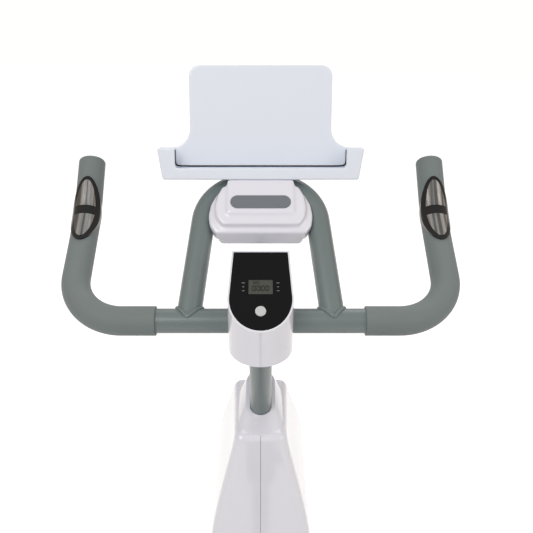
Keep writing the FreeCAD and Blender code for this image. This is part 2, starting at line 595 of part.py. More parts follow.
# ---- seat post, slide, saddle ----
seat_post_len = "(seat_post_to - seat_post_from)"
seat_top_y = "(crank_y - seat_post_to * sin(seat_lean))"
sleeve_z = "(crank_z + seat_post_to * cos(seat_lean) + 0.4 * sleeve_w)"
slide_w = "(sleeve_w - 2 * sleeve_wall - 2 * gap)"
seat_post_tube = lean(oval_tube("post_w", "post_deep", "post_wall", "seat_post_from", seat_post_len), CRANK_AT,
                      "seat_lean")
sleeve_block = box("sleeve_w", "sleeve_len", "sleeve_w", ("-sleeve_w / 2", f"{seat_top_y} - sleeve_len / 2",
                                                          f"{sleeve_z} - sleeve_w / 2"))
sleeve_boss = cross_rod("boss_r", "sleeve_w / 2", "boss_len", seat_top_y, sleeve_z)
sleeve_bore = box("sleeve_w - 2 * sleeve_wall", "sleeve_len", "sleeve_w - 2 * sleeve_wall",
                  ("sleeve_wall - sleeve_w / 2", f"{seat_top_y} - sleeve_len / 2", f"{sleeve_z} - sleeve_w / 2 + sleeve_wall"))
sleeve_screw_hole = cross_rod("screw_r + fit", "0", "sleeve_w", seat_top_y, sleeve_z)
keep(cut(cut(fuse(seat_post_tube, sleeve_block, sleeve_boss), sleeve_bore), sleeve_screw_hole), "seat_post")

slide_top = f"({sleeve_z} + {slide_w} / 2)"
slide_back = "(slide_front - slide_len)"
slide_shell = cut(box(slide_w, "slide_len", slide_w, (f"-{slide_w} / 2", slide_back, f"{sleeve_z} - {slide_w} / 2")),
                  box(f"{slide_w} - 2 * post_wall", "slide_len", f"{slide_w} - 2 * post_wall",
                      (f"post_wall - {slide_w} / 2", slide_back, f"{sleeve_z} - {slide_w} / 2 + post_wall")))
stub = rod("stub_r", "stub_tall + post_wall", ("0", "stub_y", f"{slide_top} - post_wall"))
keep(fuse(slide_shell, stub), "saddle_slide")
clamp_top = f"({slide_top} + stub_tall)"
rail_z = f"({clamp_top} + rail_r)"
clamp_block = box("clamp_w", "clamp_len", "clamp_tall", ("-clamp_w / 2", "stub_y - clamp_len / 2",
                                                         f"{clamp_top} - clamp_tall"))
clamp_ears = box("clamp_w + 12", "clamp_len - 20", "8", ("-clamp_w / 2 - 6", "stub_y - clamp_len / 2 + 10",
                                                         f"{clamp_top} - 8"))
keep(cut(fuse(clamp_block, clamp_ears), rod("stub_r + fit", "stub_tall", ("0", "stub_y", slide_top))), "saddle_clamp")
base_low = number(rail_z) + 4 * size["rail_r"]


def rounded_path(points, radii):
    """Straight runs through the points, with a tangent arc of the given radius at each inner one."""
    edges = []
    start = points[0]
    for before, corner, after, radius in zip(points, points[1:], points[2:], radii):
        into, out = (before - corner).normalize(), (after - corner).normalize()
        half = into.getAngle(out) / 2
        reach = radius / math.tan(half)
        middle = corner + (into + out).normalize() * (radius / math.sin(half) - radius)
        begin, end = corner + into * reach, corner + out * reach
        edges += [Part.LineSegment(start, begin).toShape(), Part.Arc(begin, middle, end).toShape()]
        start = end
    edges.append(Part.LineSegment(start, points[-1]).toShape())
    return Part.Wire(edges)


def pipe(path, radius):
    """A solid round bar along a path."""
    first = path.Edges[0]
    tangent = first.tangentAt(first.FirstParameter)
    ring = Part.Wire(Part.makeCircle(radius, first.valueAt(first.FirstParameter), tangent))
    return path.makePipeShell([ring], True, False)


def saddle_rail(side):
    x, middle, half, z = side * size["rail_x"], size["stub_y"], size["rail_len"] / 2, number(rail_z)
    points = [V(x, middle - half, base_low), V(x, middle - half + 14, z), V(x, middle + half - 20, z),
              V(x, middle + half, base_low)]
    return pipe(rounded_path(points, [10, 10]), size["rail_r"])


rail_ends = Part.makeBox(80, 400, 20, V(-40, size["stub_y"] - 200, base_low))
keep(feature(Part.makeCompound([saddle_rail(s).cut(rail_ends) for s in (-1, 1)]), "rails"), "saddle_rails")


def saddle_outline(inset, z):
    """The saddle seen from above: broad at the back, tapering to a rounded nose."""
    rear, long, wide, nose = (size[k] for k in ("saddle_rear_y", "saddle_len", "saddle_w", "saddle_nose_w"))
    rear, long, half, nose = rear + inset, long - 2 * inset, wide / 2 - inset, nose / 2 - inset
    side = [(half * 0.62, 0.03), (half * 0.97, 0.16), (half, 0.26), (half * 0.88, 0.4), (half * 0.5, 0.56),
            (nose * 1.12, 0.7), (nose, 0.88), (nose * 0.62, 0.98)]
    right = [V(x, rear + t * long, z) for x, t in side]
    left = [V(-p.x, p.y, z) for p in reversed(right)]
    curve = Part.BSplineCurve()
    curve.interpolate([V(0, rear, z), *right, V(0, rear + long, z), *left], PeriodicFlag=True)
    return Part.Face(Part.Wire(curve.toShape()))


saddle_base = saddle_outline(6, base_low).extrude(V(0, 0, size["saddle_base"]))
cushion_z = base_low + size["saddle_base"]
keep(feature(saddle_base, "base"), "saddle_base")
cushion_side = saddle_outline(0, cushion_z + 0.3).extrude(V(0, 0, size["saddle_pad"]))
cushion = cushion_side.makeFillet(16, [e for e in cushion_side.Edges if abs(e.CenterOfMass.z - cushion_z - 0.3 -
                                                                            size["saddle_pad"]) < 0.01])
keep(feature(cushion, "cushion"), "saddle_cushion")


# ---- clamp knobs ----
def clamp_knob(node, reach, at, turn, angle):
    """A lobed knob moulded on its clamp screw. The screw's tip is at the local origin, reach below the knob."""
    blank = turned("knob", [("0", "0"), ("screw_r", "0"), ("screw_r", reach), ("knob_neck_r", reach),
                            ("knob_neck_r", f"{reach} + knob_neck"), ("knob_r", f"{reach} + knob_neck + 5"),
                            ("knob_r", f"{reach} + knob_neck + knob_tall - 6"),
                            ("knob_r - 6", f"{reach} + knob_neck + knob_tall"), ("0", f"{reach} + knob_neck + knob_tall")])
    flutes = fuse(*[rod("knob_r / 3", "knob_tall + 2", (f"1.2 * knob_r * cos({60 * k})", f"1.2 * knob_r * sin({60 * k})",
                                                       f"{reach} + knob_neck - 1")) for k in range(6)])
    return keep(put(cut(blank, flutes), *at, turn=turn, angle=angle), node)


head_tip = "(post_deep / 2 + gap)"
clamp_knob("handlebar_knob", "(head_knob_out - post_deep / 2 - gap)",
           ("0", f"bar_y - head_knob_s * sin(head_lean) + {head_tip} * cos(head_lean)",
            f"bar_z + head_knob_s * cos(head_lean) + {head_tip} * sin(head_lean)"), X_AXIS, "head_lean - 90")
clamp_knob("seat_knob", "(tube_deep / 2 + boss_len + 4 - post_deep / 2 - gap)",
           ("0", f"crank_y - seat_knob_s * sin(seat_lean) - {head_tip} * cos(seat_lean)",
            f"crank_z + seat_knob_s * cos(seat_lean) - {head_tip} * sin(seat_lean)"), X_AXIS, "seat_lean + 90")
clamp_knob("slide_knob", f"(sleeve_w / 2 + boss_len + 4 - {slide_w} / 2 - gap)",
           (f"{slide_w} / 2 + gap", seat_top_y, sleeve_z), Y_AXIS, "90")

# ---- brake ----
pad_in = "(flywheel_r + brake_gap)"
carrier_at = f"({pad_in} + pad_thick)"
screw_from = f"({carrier_at} + carrier_thick + gap)"
brake_knob = turned("resistance_knob", [
    ("brake_screw_r + fit", "brake_knob_at"), ("knob_neck_r", "brake_knob_at"),
    ("knob_neck_r", "brake_knob_at + 8"), ("knob_r", "brake_knob_at + 16"), ("knob_r", "brake_knob_at + knob_tall + 8"),
    ("knob_r - 5", "brake_knob_at + knob_tall + 13"), ("0", "brake_knob_at + knob_tall + 13"),
    ("0", "brake_knob_at + 24"), ("brake_screw_r + fit", "brake_knob_at + 24")])
brake_flutes = fuse(*[rod("knob_r / 6", "knob_tall", (f"1.1 * knob_r * cos({30 * k})", f"1.1 * knob_r * sin({30 * k})",
                                                     "brake_knob_at + 14")) for k in range(12)])
keep(lean(cut(brake_knob, brake_flutes), brake_at, "brake_lean"), "resistance_knob")
keep(lean(rod("brake_screw_r", f"brake_knob_at + 24 - {screw_from}", ("0", "0", screw_from)), brake_at, "brake_lean"),
     "resistance_screw")
pad_ring = cut(cross_rod(carrier_at, "-rim_w / 2", "rim_w", "0", "0"), cross_rod(pad_in, "-rim_w / 2", "rim_w", "0", "0"))
pad_block = box("rim_w", "pad_len", "flywheel_r", ("-rim_w / 2", "-pad_len / 2", "flywheel_r / 2"))
keep(lean(common(pad_ring, pad_block), brake_at, "brake_lean"), "brake_pad")
carrier_ring = cut(cross_rod(f"{carrier_at} + carrier_thick", "-rim_w / 2", "rim_w", "0", "0"),
                   cross_rod(carrier_at, "-rim_w / 2", "rim_w", "0", "0"))
carrier_socket = rod("brake_screw_r + 5", "24", ("0", "0", f"{carrier_at} + carrier_thick / 2"))
carrier = cut(fuse(common(carrier_ring, box("rim_w", "pad_len", "2 * flywheel_r", ("-rim_w / 2", "-pad_len / 2",
                                                                                 "flywheel_r / 2"))), carrier_socket),
              fuse(rod("brake_screw_r + gap", "40", ("0", "0", f"{carrier_at} + carrier_thick")),
                   cross_rod(carrier_at, "-rim_w / 2", "rim_w", "0", "0")))
keep(lean(carrier, brake_at, "brake_lean"), "brake_carrier")


# ---- handlebar, tablet frame, grips and pulse sensors ----
BAR = V(0, size["bar_y"], size["bar_z"])


def rising(angle, length):
    """A step forwards and up at that slope."""
    return V(0, length * math.cos(math.radians(angle)), length * math.sin(math.radians(angle)))


def arm(side, extra=0):
    """The corner, the bend and the tip of one handlebar arm."""
    corner = BAR + V(side * size["arm_x"], 0, 0)
    bend = corner + rising(size["arm_lean_one"], size["arm_one"])
    return [corner, bend, bend + rising(size["arm_lean_two"], size["arm_two"] + extra)]


def arm_pipe(side, radius, extra):
    start = BAR + V(side * size["grip_x"], 0, 0)
    return pipe(rounded_path([start, *arm(side, extra)], [size["corner_r"], size["arm_bend_r"]]), radius)


bar_path = rounded_path([*reversed(arm(-1)), *arm(1)],
                        [size[k] for k in ("arm_bend_r", "corner_r", "corner_r", "arm_bend_r")])
bar_outer = pipe(bar_path, size["bar_r"])
keep(feature(bar_outer.cut(pipe(bar_path, size["bar_r"] - size["bar_wall"])), "handlebar"), "handlebar")
bar_solid = cross_rod("bar_r", "-grip_x", "2 * grip_x", "bar_y", "bar_z")
post_blank = lean(oval_tube("post_w", "post_deep", "post_wall", "-bar_post_len", "bar_post_len + bar_r / 2"), HEAD_AT,
                  "head_lean")
keep(cut(post_blank, bar_solid), "handlebar_post")


def grip(side):
    """A foam sleeve over one arm, closed at its end."""
    sleeve = arm_pipe(side, size["grip_r"], size["grip_end"])
    tip = arm(side, size["grip_end"])[2]
    sleeve = sleeve.makeFillet(size["grip_end"], [e for e in sleeve.Edges if e.CenterOfMass.sub(tip).Length < 1])
    return sleeve.cut(arm_pipe(side, size["bar_r"] + size["fit"], 0))


keep(feature(grip(-1), "grip"), "grip_left")
keep(feature(grip(1), "grip"), "grip_right")


def sensor_mask(side, inset):
    """An oval column standing on the bend of one arm, square to it."""
    lean_mid = (size["arm_lean_one"] + size["arm_lean_two"]) / 2
    out = rising(lean_mid + 90, 1)
    along = rising(lean_mid, 1)
    centre = arm(side)[1]
    half = size["sensor_len"] / 2 - inset
    oval_edge = Part.Ellipse(centre + along * half, centre + V(size["sensor_half_w"] - inset, 0, 0), centre).toShape()
    return Part.Face(Part.Wire(oval_edge)).extrude(out * 60)


def sensor_housing(side):
    band = arm_pipe(side, size["grip_r"] + size["sensor_thick"], 0).cut(
        arm_pipe(side, size["grip_r"] + size["fit"], 0))
    return band.common(sensor_mask(side, 0))


def sensor_plates(side):
    band = arm_pipe(side, size["grip_r"] + size["sensor_thick"] + size["plate_thick"], 0).cut(
        arm_pipe(side, size["grip_r"] + size["sensor_thick"], 0))
    slot = Part.makeBox(80, size["sensor_band"], 160, V(-40, -size["sensor_band"] / 2, -80))
    middle = arm(side)[1]
    slot.Placement = FreeCAD.Placement(middle, FreeCAD.Rotation(
        V(1, 0, 0), (size["arm_lean_one"] + size["arm_lean_two"]) / 2))
    return band.common(sensor_mask(side, size["sensor_rim"])).cut(slot)


keep(feature(Part.makeCompound([s for k in (-1, 1) for s in sensor_housing(k).Solids]), "sensors"),
     "pulse_sensor_housings")
keep(feature(Part.makeCompound([s for k in (-1, 1) for s in sensor_plates(k).Solids]), "sensors"),
     "pulse_sensor_plates")


def loop_point(x, along):
    return BAR + V(x, 0, 0) + rising(size["loop_lean"], along)


loop_corners = [loop_point(-size["loop_x"], 0), loop_point(-size["loop_top_x"], size["loop_len"]),
                loop_point(size["loop_top_x"], size["loop_len"]), loop_point(size["loop_x"], 0)]
loop_path = rounded_path(loop_corners, [size["loop_corner_r"]] * 2)
loop_tube = pipe(loop_path, size["bar_r"]).cut(pipe(loop_path, size["bar_r"] - size["bar_wall"]))
loop_clear = feature(pipe(loop_path, size["bar_r"] + size["fit"]), "loop")
keep(cut(feature(loop_tube, "loop"), bar_solid), "tablet_frame")


# ---- bracket and tablet tray ----
def tray_at(obj):
    return lean(obj, ("0", "bar_y + tray_y", "bar_z + tray_z"), "-tray_lean")


def loop_at(obj):
    return lean(obj, HEAD_AT, "loop_lean")


def bracket_outline(inset):
    """The bracket from above: straight towards the rider, rounding in under the tray."""
    half, front = f"(bracket_half - {inset})", f"(bracket_front - {inset})"
    low, high = f"(bracket_from + {inset})", f"(bracket_to - {inset})"
    right = [(front, low), (f"{half} - 2", f"{low} + 12"), (half, f"{low} + 27"), (f"{half} - 3", f"{low} + 44"),
             (f"{half} - 10", f"{low} + 58"), (f"{half} * 0.62", f"{high} - 12"), (f"{half} * 0.35", high)]
    return right + [(f"-({x})", y) for x, y in reversed(right)]


rim = padded("bracket_rim", "XY_Plane", bracket_outline("0"), "bracket_step")
plateau = padded("bracket_plateau", "XY_Plane", bracket_outline("bracket_inset"), "bracket_top")
skirt_half = "(bracket_front - 6)"
skirt = box(f"2 * {skirt_half}", "40", "bracket_low + 1", (f"-{skirt_half}", "bracket_from", "-bracket_low"))
neck = box("neck_w", "neck_to - neck_from", "neck_top", ("-neck_w / 2", "neck_from", "0"))
hollow_rim = padded("bracket_hollow", "XY_Plane", bracket_outline("bracket_wall"), "bracket_step - bracket_wall")
hollow_skirt = box(f"2 * ({skirt_half} - bracket_wall)", "40 - 2 * bracket_wall", "2 * bracket_low",
                   (f"bracket_wall - {skirt_half}", "bracket_from + bracket_wall", "-bracket_low"))


def stadium(long, wide, low, tall, at_y):
    """A round-ended slab, long along X."""
    core = box(f"{long} - {wide}", wide, tall, (f"-({long} - {wide}) / 2", f"{at_y} - {wide} / 2", low))
    ends = [rod(f"{wide} / 2", tall, (f"{k} * ({long} - {wide}) / 2", at_y, low)) for k in (-1, 1)]
    return fuse(core, *ends)


inlay_low = "(neck_top + 0.5 - inlay_thick)"
inlay_pocket = stadium("(inlay_len + 2 * fit)", "(inlay_w + 2 * fit)", inlay_low, "inlay_thick", "inlay_at")
bracket = cut(cut(cut(fuse(rim, plateau, skirt, neck), hollow_rim), hollow_skirt), inlay_pocket)
tray_space = tray_at(box("2 * rim_half", "80", "plate_tall", ("-rim_half", "0", "0")))
keep(cut(cut(loop_at(bracket), loop_clear), tray_space), "holder_bracket")
keep(loop_at(stadium("inlay_len", "inlay_w", inlay_low, "inlay_thick", "inlay_at")), "bracket_inlay")

tray_deep = "(tray_wall + tray_gap + back_thick)"


def tray_prism(inset, y_from, y_to, low):
    """The trough's slanted-end block, between two depths."""
    span = f"({y_to} - {y_from})"
    foot, head = f"(tray_half - {inset})", f"(rim_half - {inset})"
    block = padded("tray_block", "XZ_Plane", [(f"-{foot}", low), (foot, low), (head, "tray_tall"),
                                              (f"-{head}", "tray_tall")], span)
    return put(group(block), y=y_to)


trough = cut(tray_prism("0", "0", tray_deep, "0"),
             tray_prism("tray_wall", "tray_wall", "(tray_wall + tray_gap)", "tray_wall"))
mouth = box("2 * hook_x", "2 * tray_wall", "tray_tall", ("-hook_x", "-tray_wall / 2", "lip_tall"))
flare, half, tall = size["flare_x"], size["plate_half"], size["plate_tall"]
back_points = [V(-flare, 0, size["tray_wall"]), V(-flare, 0, size["tray_tall"]), V(-half, 0, size["tray_tall"]),
               V(-half, 0, tall), V(half, 0, tall), V(half, 0, size["tray_tall"]), V(flare, 0, size["tray_tall"]),
               V(flare, 0, size["tray_wall"])]
back_top = rounded_path(back_points, [2, size["flare_r"], size["plate_r"], size["plate_r"], size["flare_r"], 2])
back_wire = Part.Wire([*back_top.Edges, Part.makeLine(back_points[-1], back_points[0])])
back_plate = put(group(feature(Part.Face(back_wire).extrude(V(0, size["back_thick"], 0)), "back")),
                 y="tray_wall + tray_gap")
keep(cut(tray_at(fuse(cut(trough, mouth), back_plate)), loop_clear), "tablet_tray")


# ---- console ----
def console_plan(inset, low, tall):
    """The console from above: round towards the rider, narrowing forwards."""
    wide, narrow = f"(console_w / 2 - {inset})", f"(console_top_w / 2 - {inset})"
    middle = "(console_w / 2 - console_rear)"
    front = f"(console_front - {inset})"
    body = padded("console_plan", "XY_Plane", [(wide, middle), (narrow, front), (f"-{narrow}", front),
                                               (f"-{wide}", middle)], tall)
    return put(fuse(body, rod(wide, tall, ("0", middle, "0"))), z=low)


def on_face(obj):
    """A piece standing on the inclined face, its Y measured from the rear edge."""
    return lean(obj, ("0", "-console_rear", "console_rise"), "console_face_lean")


def face_slab(low, thick):
    """A slab square to the inclined face, from a height above it."""
    return on_face(box("2 * console_w", "3 * console_w", thick, ("-console_w", "-console_w", low)))


def console_at(obj):
    return put(group(obj), y="bar_y", z="bar_z")


deck = "(face_thick + console_wall)"
above = "(2 * console_w)"
plan_tall = "(console_rise + console_low + console_w)"
console_blank = cut(console_plan("0", "-console_low", plan_tall), face_slab("0", above))
console_inner = cut(console_plan("console_wall", "console_wall - console_low", plan_tall), face_slab(f"-{deck}", above))


def face_plate(inset):
    """The black plate's shape, or its pocket."""
    plan = console_plan(inset, "-console_low", plan_tall)
    return cut(plan, fuse(face_slab("0", above), face_slab(f"-face_thick - {above}", above)))


button_bore = on_face(rod("button_r + fit", f"2 * {deck}", ("0", "button_at", f"-{deck} - 1")))
window = on_face(box("lcd_w + 2 * fit", "lcd_deep + 2 * fit", "2 * face_thick",
                     ("-lcd_w / 2 - fit", "lcd_at - lcd_deep / 2 - fit", "-face_thick")))
post_space = lean(oval("(post_w + 2 * fit)", "(post_deep + 2 * fit)", "-3 * console_low", "4 * console_low"),
                  ("0", "0", "0"), "head_lean")
bar_space = cross_rod("bar_r + fit", "-console_w", "2 * console_w", "0", "0")
keep(console_at(cut(console_blank, fuse(console_inner, face_plate("(face_inset - fit)"), button_bore, post_space,
                                        bar_space))), "console_housing")
keep(console_at(cut(face_plate("face_inset"), fuse(button_bore, window))), "console_face")
keep(console_at(on_face(box("lcd_w", "lcd_deep", "face_thick - lcd_sunk",
                            ("-lcd_w / 2", "lcd_at - lcd_deep / 2", "-face_thick")))), "console_display")
button_low = f"({deck} + 0.2 + button_flange)"
button = fuse(rod("button_r", f"{button_low} + button_proud", ("0", "button_at", f"-{button_low}")),
              rod("button_r + 2.4", "button_flange", ("0", "button_at", f"-{button_low}")))
keep(console_at(on_face(button)), "console_button")


# ---- shell and mouth bezel ----
def yz(y, z):
    return V(0, y, z)


def on_circle(centre, radius, angle):
    return centre + yz(math.cos(math.radians(angle)), math.sin(math.radians(angle))) * radius


def arc(centre, radius, start, end):
    return Part.Arc(on_circle(centre, radius, start), on_circle(centre, radius, (start + end) / 2),
                    on_circle(centre, radius, end)).toShape()


def bezier(*poles):
    curve = Part.BezierCurve()
    curve.setPoles(list(poles))
    return curve.toShape()


def spline(points):
    curve = Part.BSplineCurve()
    curve.interpolate(points)
    return curve.toShape()


def side_outline():
    """The shell from the side: neck, wheel cover, drive cover and the saddle between the two posts."""
    wheel, wheel_r = yz(size["flywheel_y"], size["flywheel_z"]), size["shell_wheel_r"]
    crank, crank_r = yz(size["crank_y"], size["crank_z"]), size["shell_crank_r"]
    rear = yz(size["mouth_rear_y"], size["mouth_rear_z"])
    front = yz(size["mouth_front_y"], size["mouth_front_z"])
    down = yz(math.sin(math.radians(size["head_lean"])), -math.cos(math.radians(size["head_lean"])))
    chin = front + down * size["neck_run"]
    brow = on_circle(wheel, wheel_r, 60)
    span = crank - wheel
    below = math.degrees(math.atan2(span.z, span.y)) + math.degrees(math.acos((wheel_r - crank_r) / span.Length))
    top = on_circle(crank, crank_r, 90)
    knee = top + yz(-size["knee_back"], size["knee_rise"])
    saddle = [top, knee, crank + yz(80, 275), rear + yz(-36, -140), rear]
    bottom_wheel, bottom_crank = on_circle(wheel, wheel_r, below), on_circle(crank, crank_r, below)
    return [Part.makeLine(rear, front), Part.makeLine(front, chin),
            bezier(chin, chin + down * 110, brow + rising(150, 90), brow), arc(wheel, wheel_r, 60, below - 360),
            Part.makeLine(bottom_wheel, bottom_crank), arc(crank, crank_r, below - 360, -270),
            *rounded_path(saddle, [size["knee_r"], 150, 250]).Edges]


def width_outline():
    """The shell from the front: a narrow neck flaring to full width."""
    half, narrow, top, foot = size["shell_half"], size["neck_half"], size["mouth_rear_z"] + 5, 40
    right = bezier(V(narrow, 0, top), V(narrow + 5, 0, top - 55), V(half, 0, top - 145), V(half, 0, top - 265))
    left = bezier(V(-narrow, 0, top), V(-narrow - 5, 0, top - 55), V(-half, 0, top - 145), V(-half, 0, top - 265))
    return [right, Part.makeLine(V(half, 0, top - 265), V(half, 0, foot)), Part.makeLine(V(half, 0, foot),
            V(-half, 0, foot)), Part.makeLine(V(-half, 0, foot), V(-half, 0, top - 265)), left,
            Part.makeLine(V(-narrow, 0, top), V(narrow, 0, top))]


def drawn_in(face, inset):
    """The face shrunk by the inset, its offset curves redrawn as splines that STEP can hold."""
    edges = []
    for edge in face.makeOffset2D(-inset).OuterWire.OrderedEdges:
        straight_or_round = edge.Curve.TypeId in ("Part::GeomLine", "Part::GeomCircle")
        edges.append(edge if straight_or_round else spline(edge.discretize(Number=24)))
    return Part.Face(Part.Wire(Part.__sortEdges__(edges)))


def shell_block(inset):
    """Side outline and front outline, both drawn in by the inset, carried through each other."""
    side = Part.Face(Part.Wire(Part.__sortEdges__(side_outline())))
    front = Part.Face(Part.Wire(Part.__sortEdges__(width_outline())))
    if inset:
        side, front = drawn_in(side, inset), drawn_in(front, inset)
    side.translate(V(-200, 0, 0))
    front.translate(V(0, -600, 0))
    return side.extrude(V(400, 0, 0)).common(front.extrude(V(0, 1200, 0)))


rounding = size["shell_round"]
shell_outer, shell_inner = shell_block(0), shell_block(size["shell_wall"])
shell_outer = shell_outer.makeFillet(rounding, shell_outer.Edges)
shell_inner = shell_inner.makeFillet(rounding - size["shell_wall"], shell_inner.Edges)
shell_skin = feature(shell_outer.cut(shell_inner), "skin")
crank_holes = cross_rod("bb_r + 2", "-2 * shell_half", "4 * shell_half", "crank_y", "crank_z")
fork_hole = box("2 * (leg_x + leg_thick + 2)", "leg_deep + 12", "shell_half",
                ("-(leg_x + leg_thick + 2)", "flywheel_y - leg_deep / 2 - 6", BEAM_TOP))
strut_hole = box("stay_w + 4", "strut_deep + 4", f"{STRUT_MOUNT_Z} - {BEAM_TOP}",
                 ("-stay_w / 2 - 2", "crank_y - strut_deep / 2 - 2", BEAM_TOP))
beam_hole = lean(box("tube_w + 4", "1.5 * tube_deep", "top_beam_deep + 4",
                     ("-tube_w / 2 - 2", f"-{beam_reach} - tube_deep / 2", "-top_beam_deep / 2 - 2")),
                 ("0", beam_point, "top_beam_head_z"), "top_beam_lean")
seat_hole = lean(oval("(tube_w + 4)", "(tube_deep + 4)", "100", "seat_tube_to"), CRANK_AT, "seat_lean")
mouth_hole = lean(oval("(tube_w + 4)", "(tube_deep + 4)", "head_top - 60", "200"), HEAD_AT, "head_lean")
knob_hole = lean(put(rod("boss_r + 2", "tube_deep"), "0", "tube_deep / 2", "head_knob_s", X_AXIS, -90), HEAD_AT,
                 "head_lean")
brake_knob_hole = lean(rod("brake_screw_r + 3", "100", ("0", "0", "brake_knob_at - 90")), brake_at, "brake_lean")
screw_holes = fuse(*[cross_rod("shell_screw_r + fit", "-2 * shell_half", "4 * shell_half", y, z)
                     for y, z in (("flywheel_y", "crown_z + crown_tall / 2"), ("crank_y", STRUT_MOUNT_Z))])
openings = fuse(crank_holes, fork_hole, strut_hole, beam_hole, seat_hole, mouth_hole, knob_hole, brake_knob_hole, screw_holes)
shell_open = cut(shell_skin, openings)


def shell_half_of(side):
    """One half of the shell, short of the middle plane by half the seam."""
    start = "-400 - shell_seam / 2" if side < 0 else "shell_seam / 2"
    return common(shell_open, box("400", "1600", "1600", (start, "-800", "0")))


keep(shell_half_of(-1), "shell_left")
keep(shell_half_of(1), "shell_right")


def shell_screw(side, y, z):
    """A pan-head screw through the shell into its mount."""
    tip = "(shell_half - shell_screw_len)"
    start, head = (tip, "shell_half") if side > 0 else ("-shell_half", "-(shell_half + shell_wall)")
    return fuse(cross_rod("shell_screw_r", start, "shell_screw_len", y, z),
                cross_rod("2 * shell_screw_r", head, "shell_wall", y, z))


keep(group(*[shell_screw(side, y, z) for side in (-1, 1)
             for y, z in (("flywheel_y", "crown_z + crown_tall / 2"), ("crank_y", STRUT_MOUNT_Z))]), "shell_screws")


def stadium_wire(wide, long, centre, along):
    """A round-ended outline, its long way along a direction square to X."""
    half, straight = wide / 2, (long - wide) / 2
    up = V(1, 0, 0).cross(along)
    corners = [centre + V(half, 0, 0) - along * straight, centre + V(half, 0, 0) + along * straight,
               centre - V(half, 0, 0) + along * straight, centre - V(half, 0, 0) - along * straight]
    ends = [centre + along * (straight + half), centre - along * (straight + half)]
    return Part.Wire([Part.makeLine(corners[0], corners[1]), Part.Arc(corners[1], ends[0], corners[2]).toShape(),
                      Part.makeLine(corners[2], corners[3]), Part.Arc(corners[3], ends[1], corners[0]).toShape()]), up


mouth_rear = yz(size["mouth_rear_y"], size["mouth_rear_z"])
mouth_front = yz(size["mouth_front_y"], size["mouth_front_z"])
mouth_along = (mouth_front - mouth_rear).normalize()
rim_wire, rim_up = stadium_wire(size["bezel_w"], (mouth_front - mouth_rear).Length - 6, (mouth_rear + mouth_front) / 2,
                                mouth_along)
head_axis = rising(size["head_lean"] + 90, 1)
top_wire = stadium_wire(size["bezel_top_w"], size["bezel_top_deep"], BAR + head_axis * size["bezel_top"],
                        rising(size["head_lean"], 1))[0]
bezel_cap = Part.makeLoft([rim_wire, top_wire], True, True)
bezel_skirt = Part.Face(rim_wire).extrude(rim_up * -rounding)
bezel_blank = cut(feature(bezel_cap.fuse(bezel_skirt), "bezel"), feature(shell_outer, "bezel"))
bezel_hole = lean(oval("(post_w + 1)", "(post_deep + 1)", "head_top - 60", "200"), HEAD_AT, "head_lean")
head_clear = lean(oval("(tube_w + 2 * fit)", "(tube_deep + 2 * fit)", "head_top - 100", "100"), HEAD_AT, "head_lean")
keep(cut(bezel_blank, fuse(bezel_hole, head_clear)), "mouth_bezel")

# ---- checks and export ----
doc.recompute()
broken = [obj.Name for obj in doc.Objects if "Invalid" in obj.State or "Error" in obj.State]
if broken:
    raise RuntimeError(f"not recomputed: {broken}")
os.makedirs("parts", exist_ok=True)
for node, obj in parts.items():
    if obj.Shape.isNull() or not obj.Shape.isValid():
        raise RuntimeError(f"{node} has no valid shape")
    obj.Shape.exportStep(f"parts/{node}.step")
print(len(parts), "sub-parts written")
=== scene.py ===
import json
import math

import bmesh
import bpy
from mathutils import Matrix, Vector


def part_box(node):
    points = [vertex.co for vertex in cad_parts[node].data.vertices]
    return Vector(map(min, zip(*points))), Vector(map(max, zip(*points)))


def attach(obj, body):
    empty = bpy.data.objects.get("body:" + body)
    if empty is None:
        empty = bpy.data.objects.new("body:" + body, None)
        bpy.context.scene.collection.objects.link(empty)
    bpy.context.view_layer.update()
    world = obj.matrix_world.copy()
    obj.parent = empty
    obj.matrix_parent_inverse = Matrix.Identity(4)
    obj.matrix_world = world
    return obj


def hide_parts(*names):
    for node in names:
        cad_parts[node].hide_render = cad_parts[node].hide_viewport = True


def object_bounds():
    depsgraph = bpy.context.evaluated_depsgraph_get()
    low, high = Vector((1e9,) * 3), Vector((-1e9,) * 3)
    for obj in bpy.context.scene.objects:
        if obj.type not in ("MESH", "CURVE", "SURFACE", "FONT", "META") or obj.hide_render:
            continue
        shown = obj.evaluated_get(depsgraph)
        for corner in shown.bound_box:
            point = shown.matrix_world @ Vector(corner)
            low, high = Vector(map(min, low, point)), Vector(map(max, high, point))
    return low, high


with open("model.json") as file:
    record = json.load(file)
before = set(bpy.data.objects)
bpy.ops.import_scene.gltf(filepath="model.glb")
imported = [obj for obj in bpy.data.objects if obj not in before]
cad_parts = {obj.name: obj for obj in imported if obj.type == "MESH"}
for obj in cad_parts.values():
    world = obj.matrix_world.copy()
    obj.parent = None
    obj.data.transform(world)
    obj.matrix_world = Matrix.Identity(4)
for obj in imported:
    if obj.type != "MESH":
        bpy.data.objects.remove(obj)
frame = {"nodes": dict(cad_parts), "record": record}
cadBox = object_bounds()
scene = bpy.context.scene
nodes = frame["nodes"]
print("bike loaded:", len(nodes), "parts")


def link(tree, source, target):
    tree.links.new(source, target)


def newGroup(name, inputs, outputs):
    group = bpy.data.node_groups.new(name, "ShaderNodeTree")
    for label, kind, value in inputs:
        socket = group.interface.new_socket(label, in_out="INPUT", socket_type="NodeSocket" + kind)
        socket.default_value = value
    for label, kind in outputs:
        group.interface.new_socket(label, in_out="OUTPUT", socket_type="NodeSocket" + kind)
    return group, group.nodes.new("NodeGroupInput"), group.nodes.new("NodeGroupOutput")


def maths(tree, operation, first, second=None, clamp=False):
    node = tree.nodes.new("ShaderNodeMath")
    node.operation, node.use_clamp = operation, clamp
    for socket, value in zip(node.inputs, (first, second)):
        if isinstance(value, (int, float)):
            socket.default_value = value
        elif value is not None:
            link(tree, value, socket)
    return node.outputs[0]


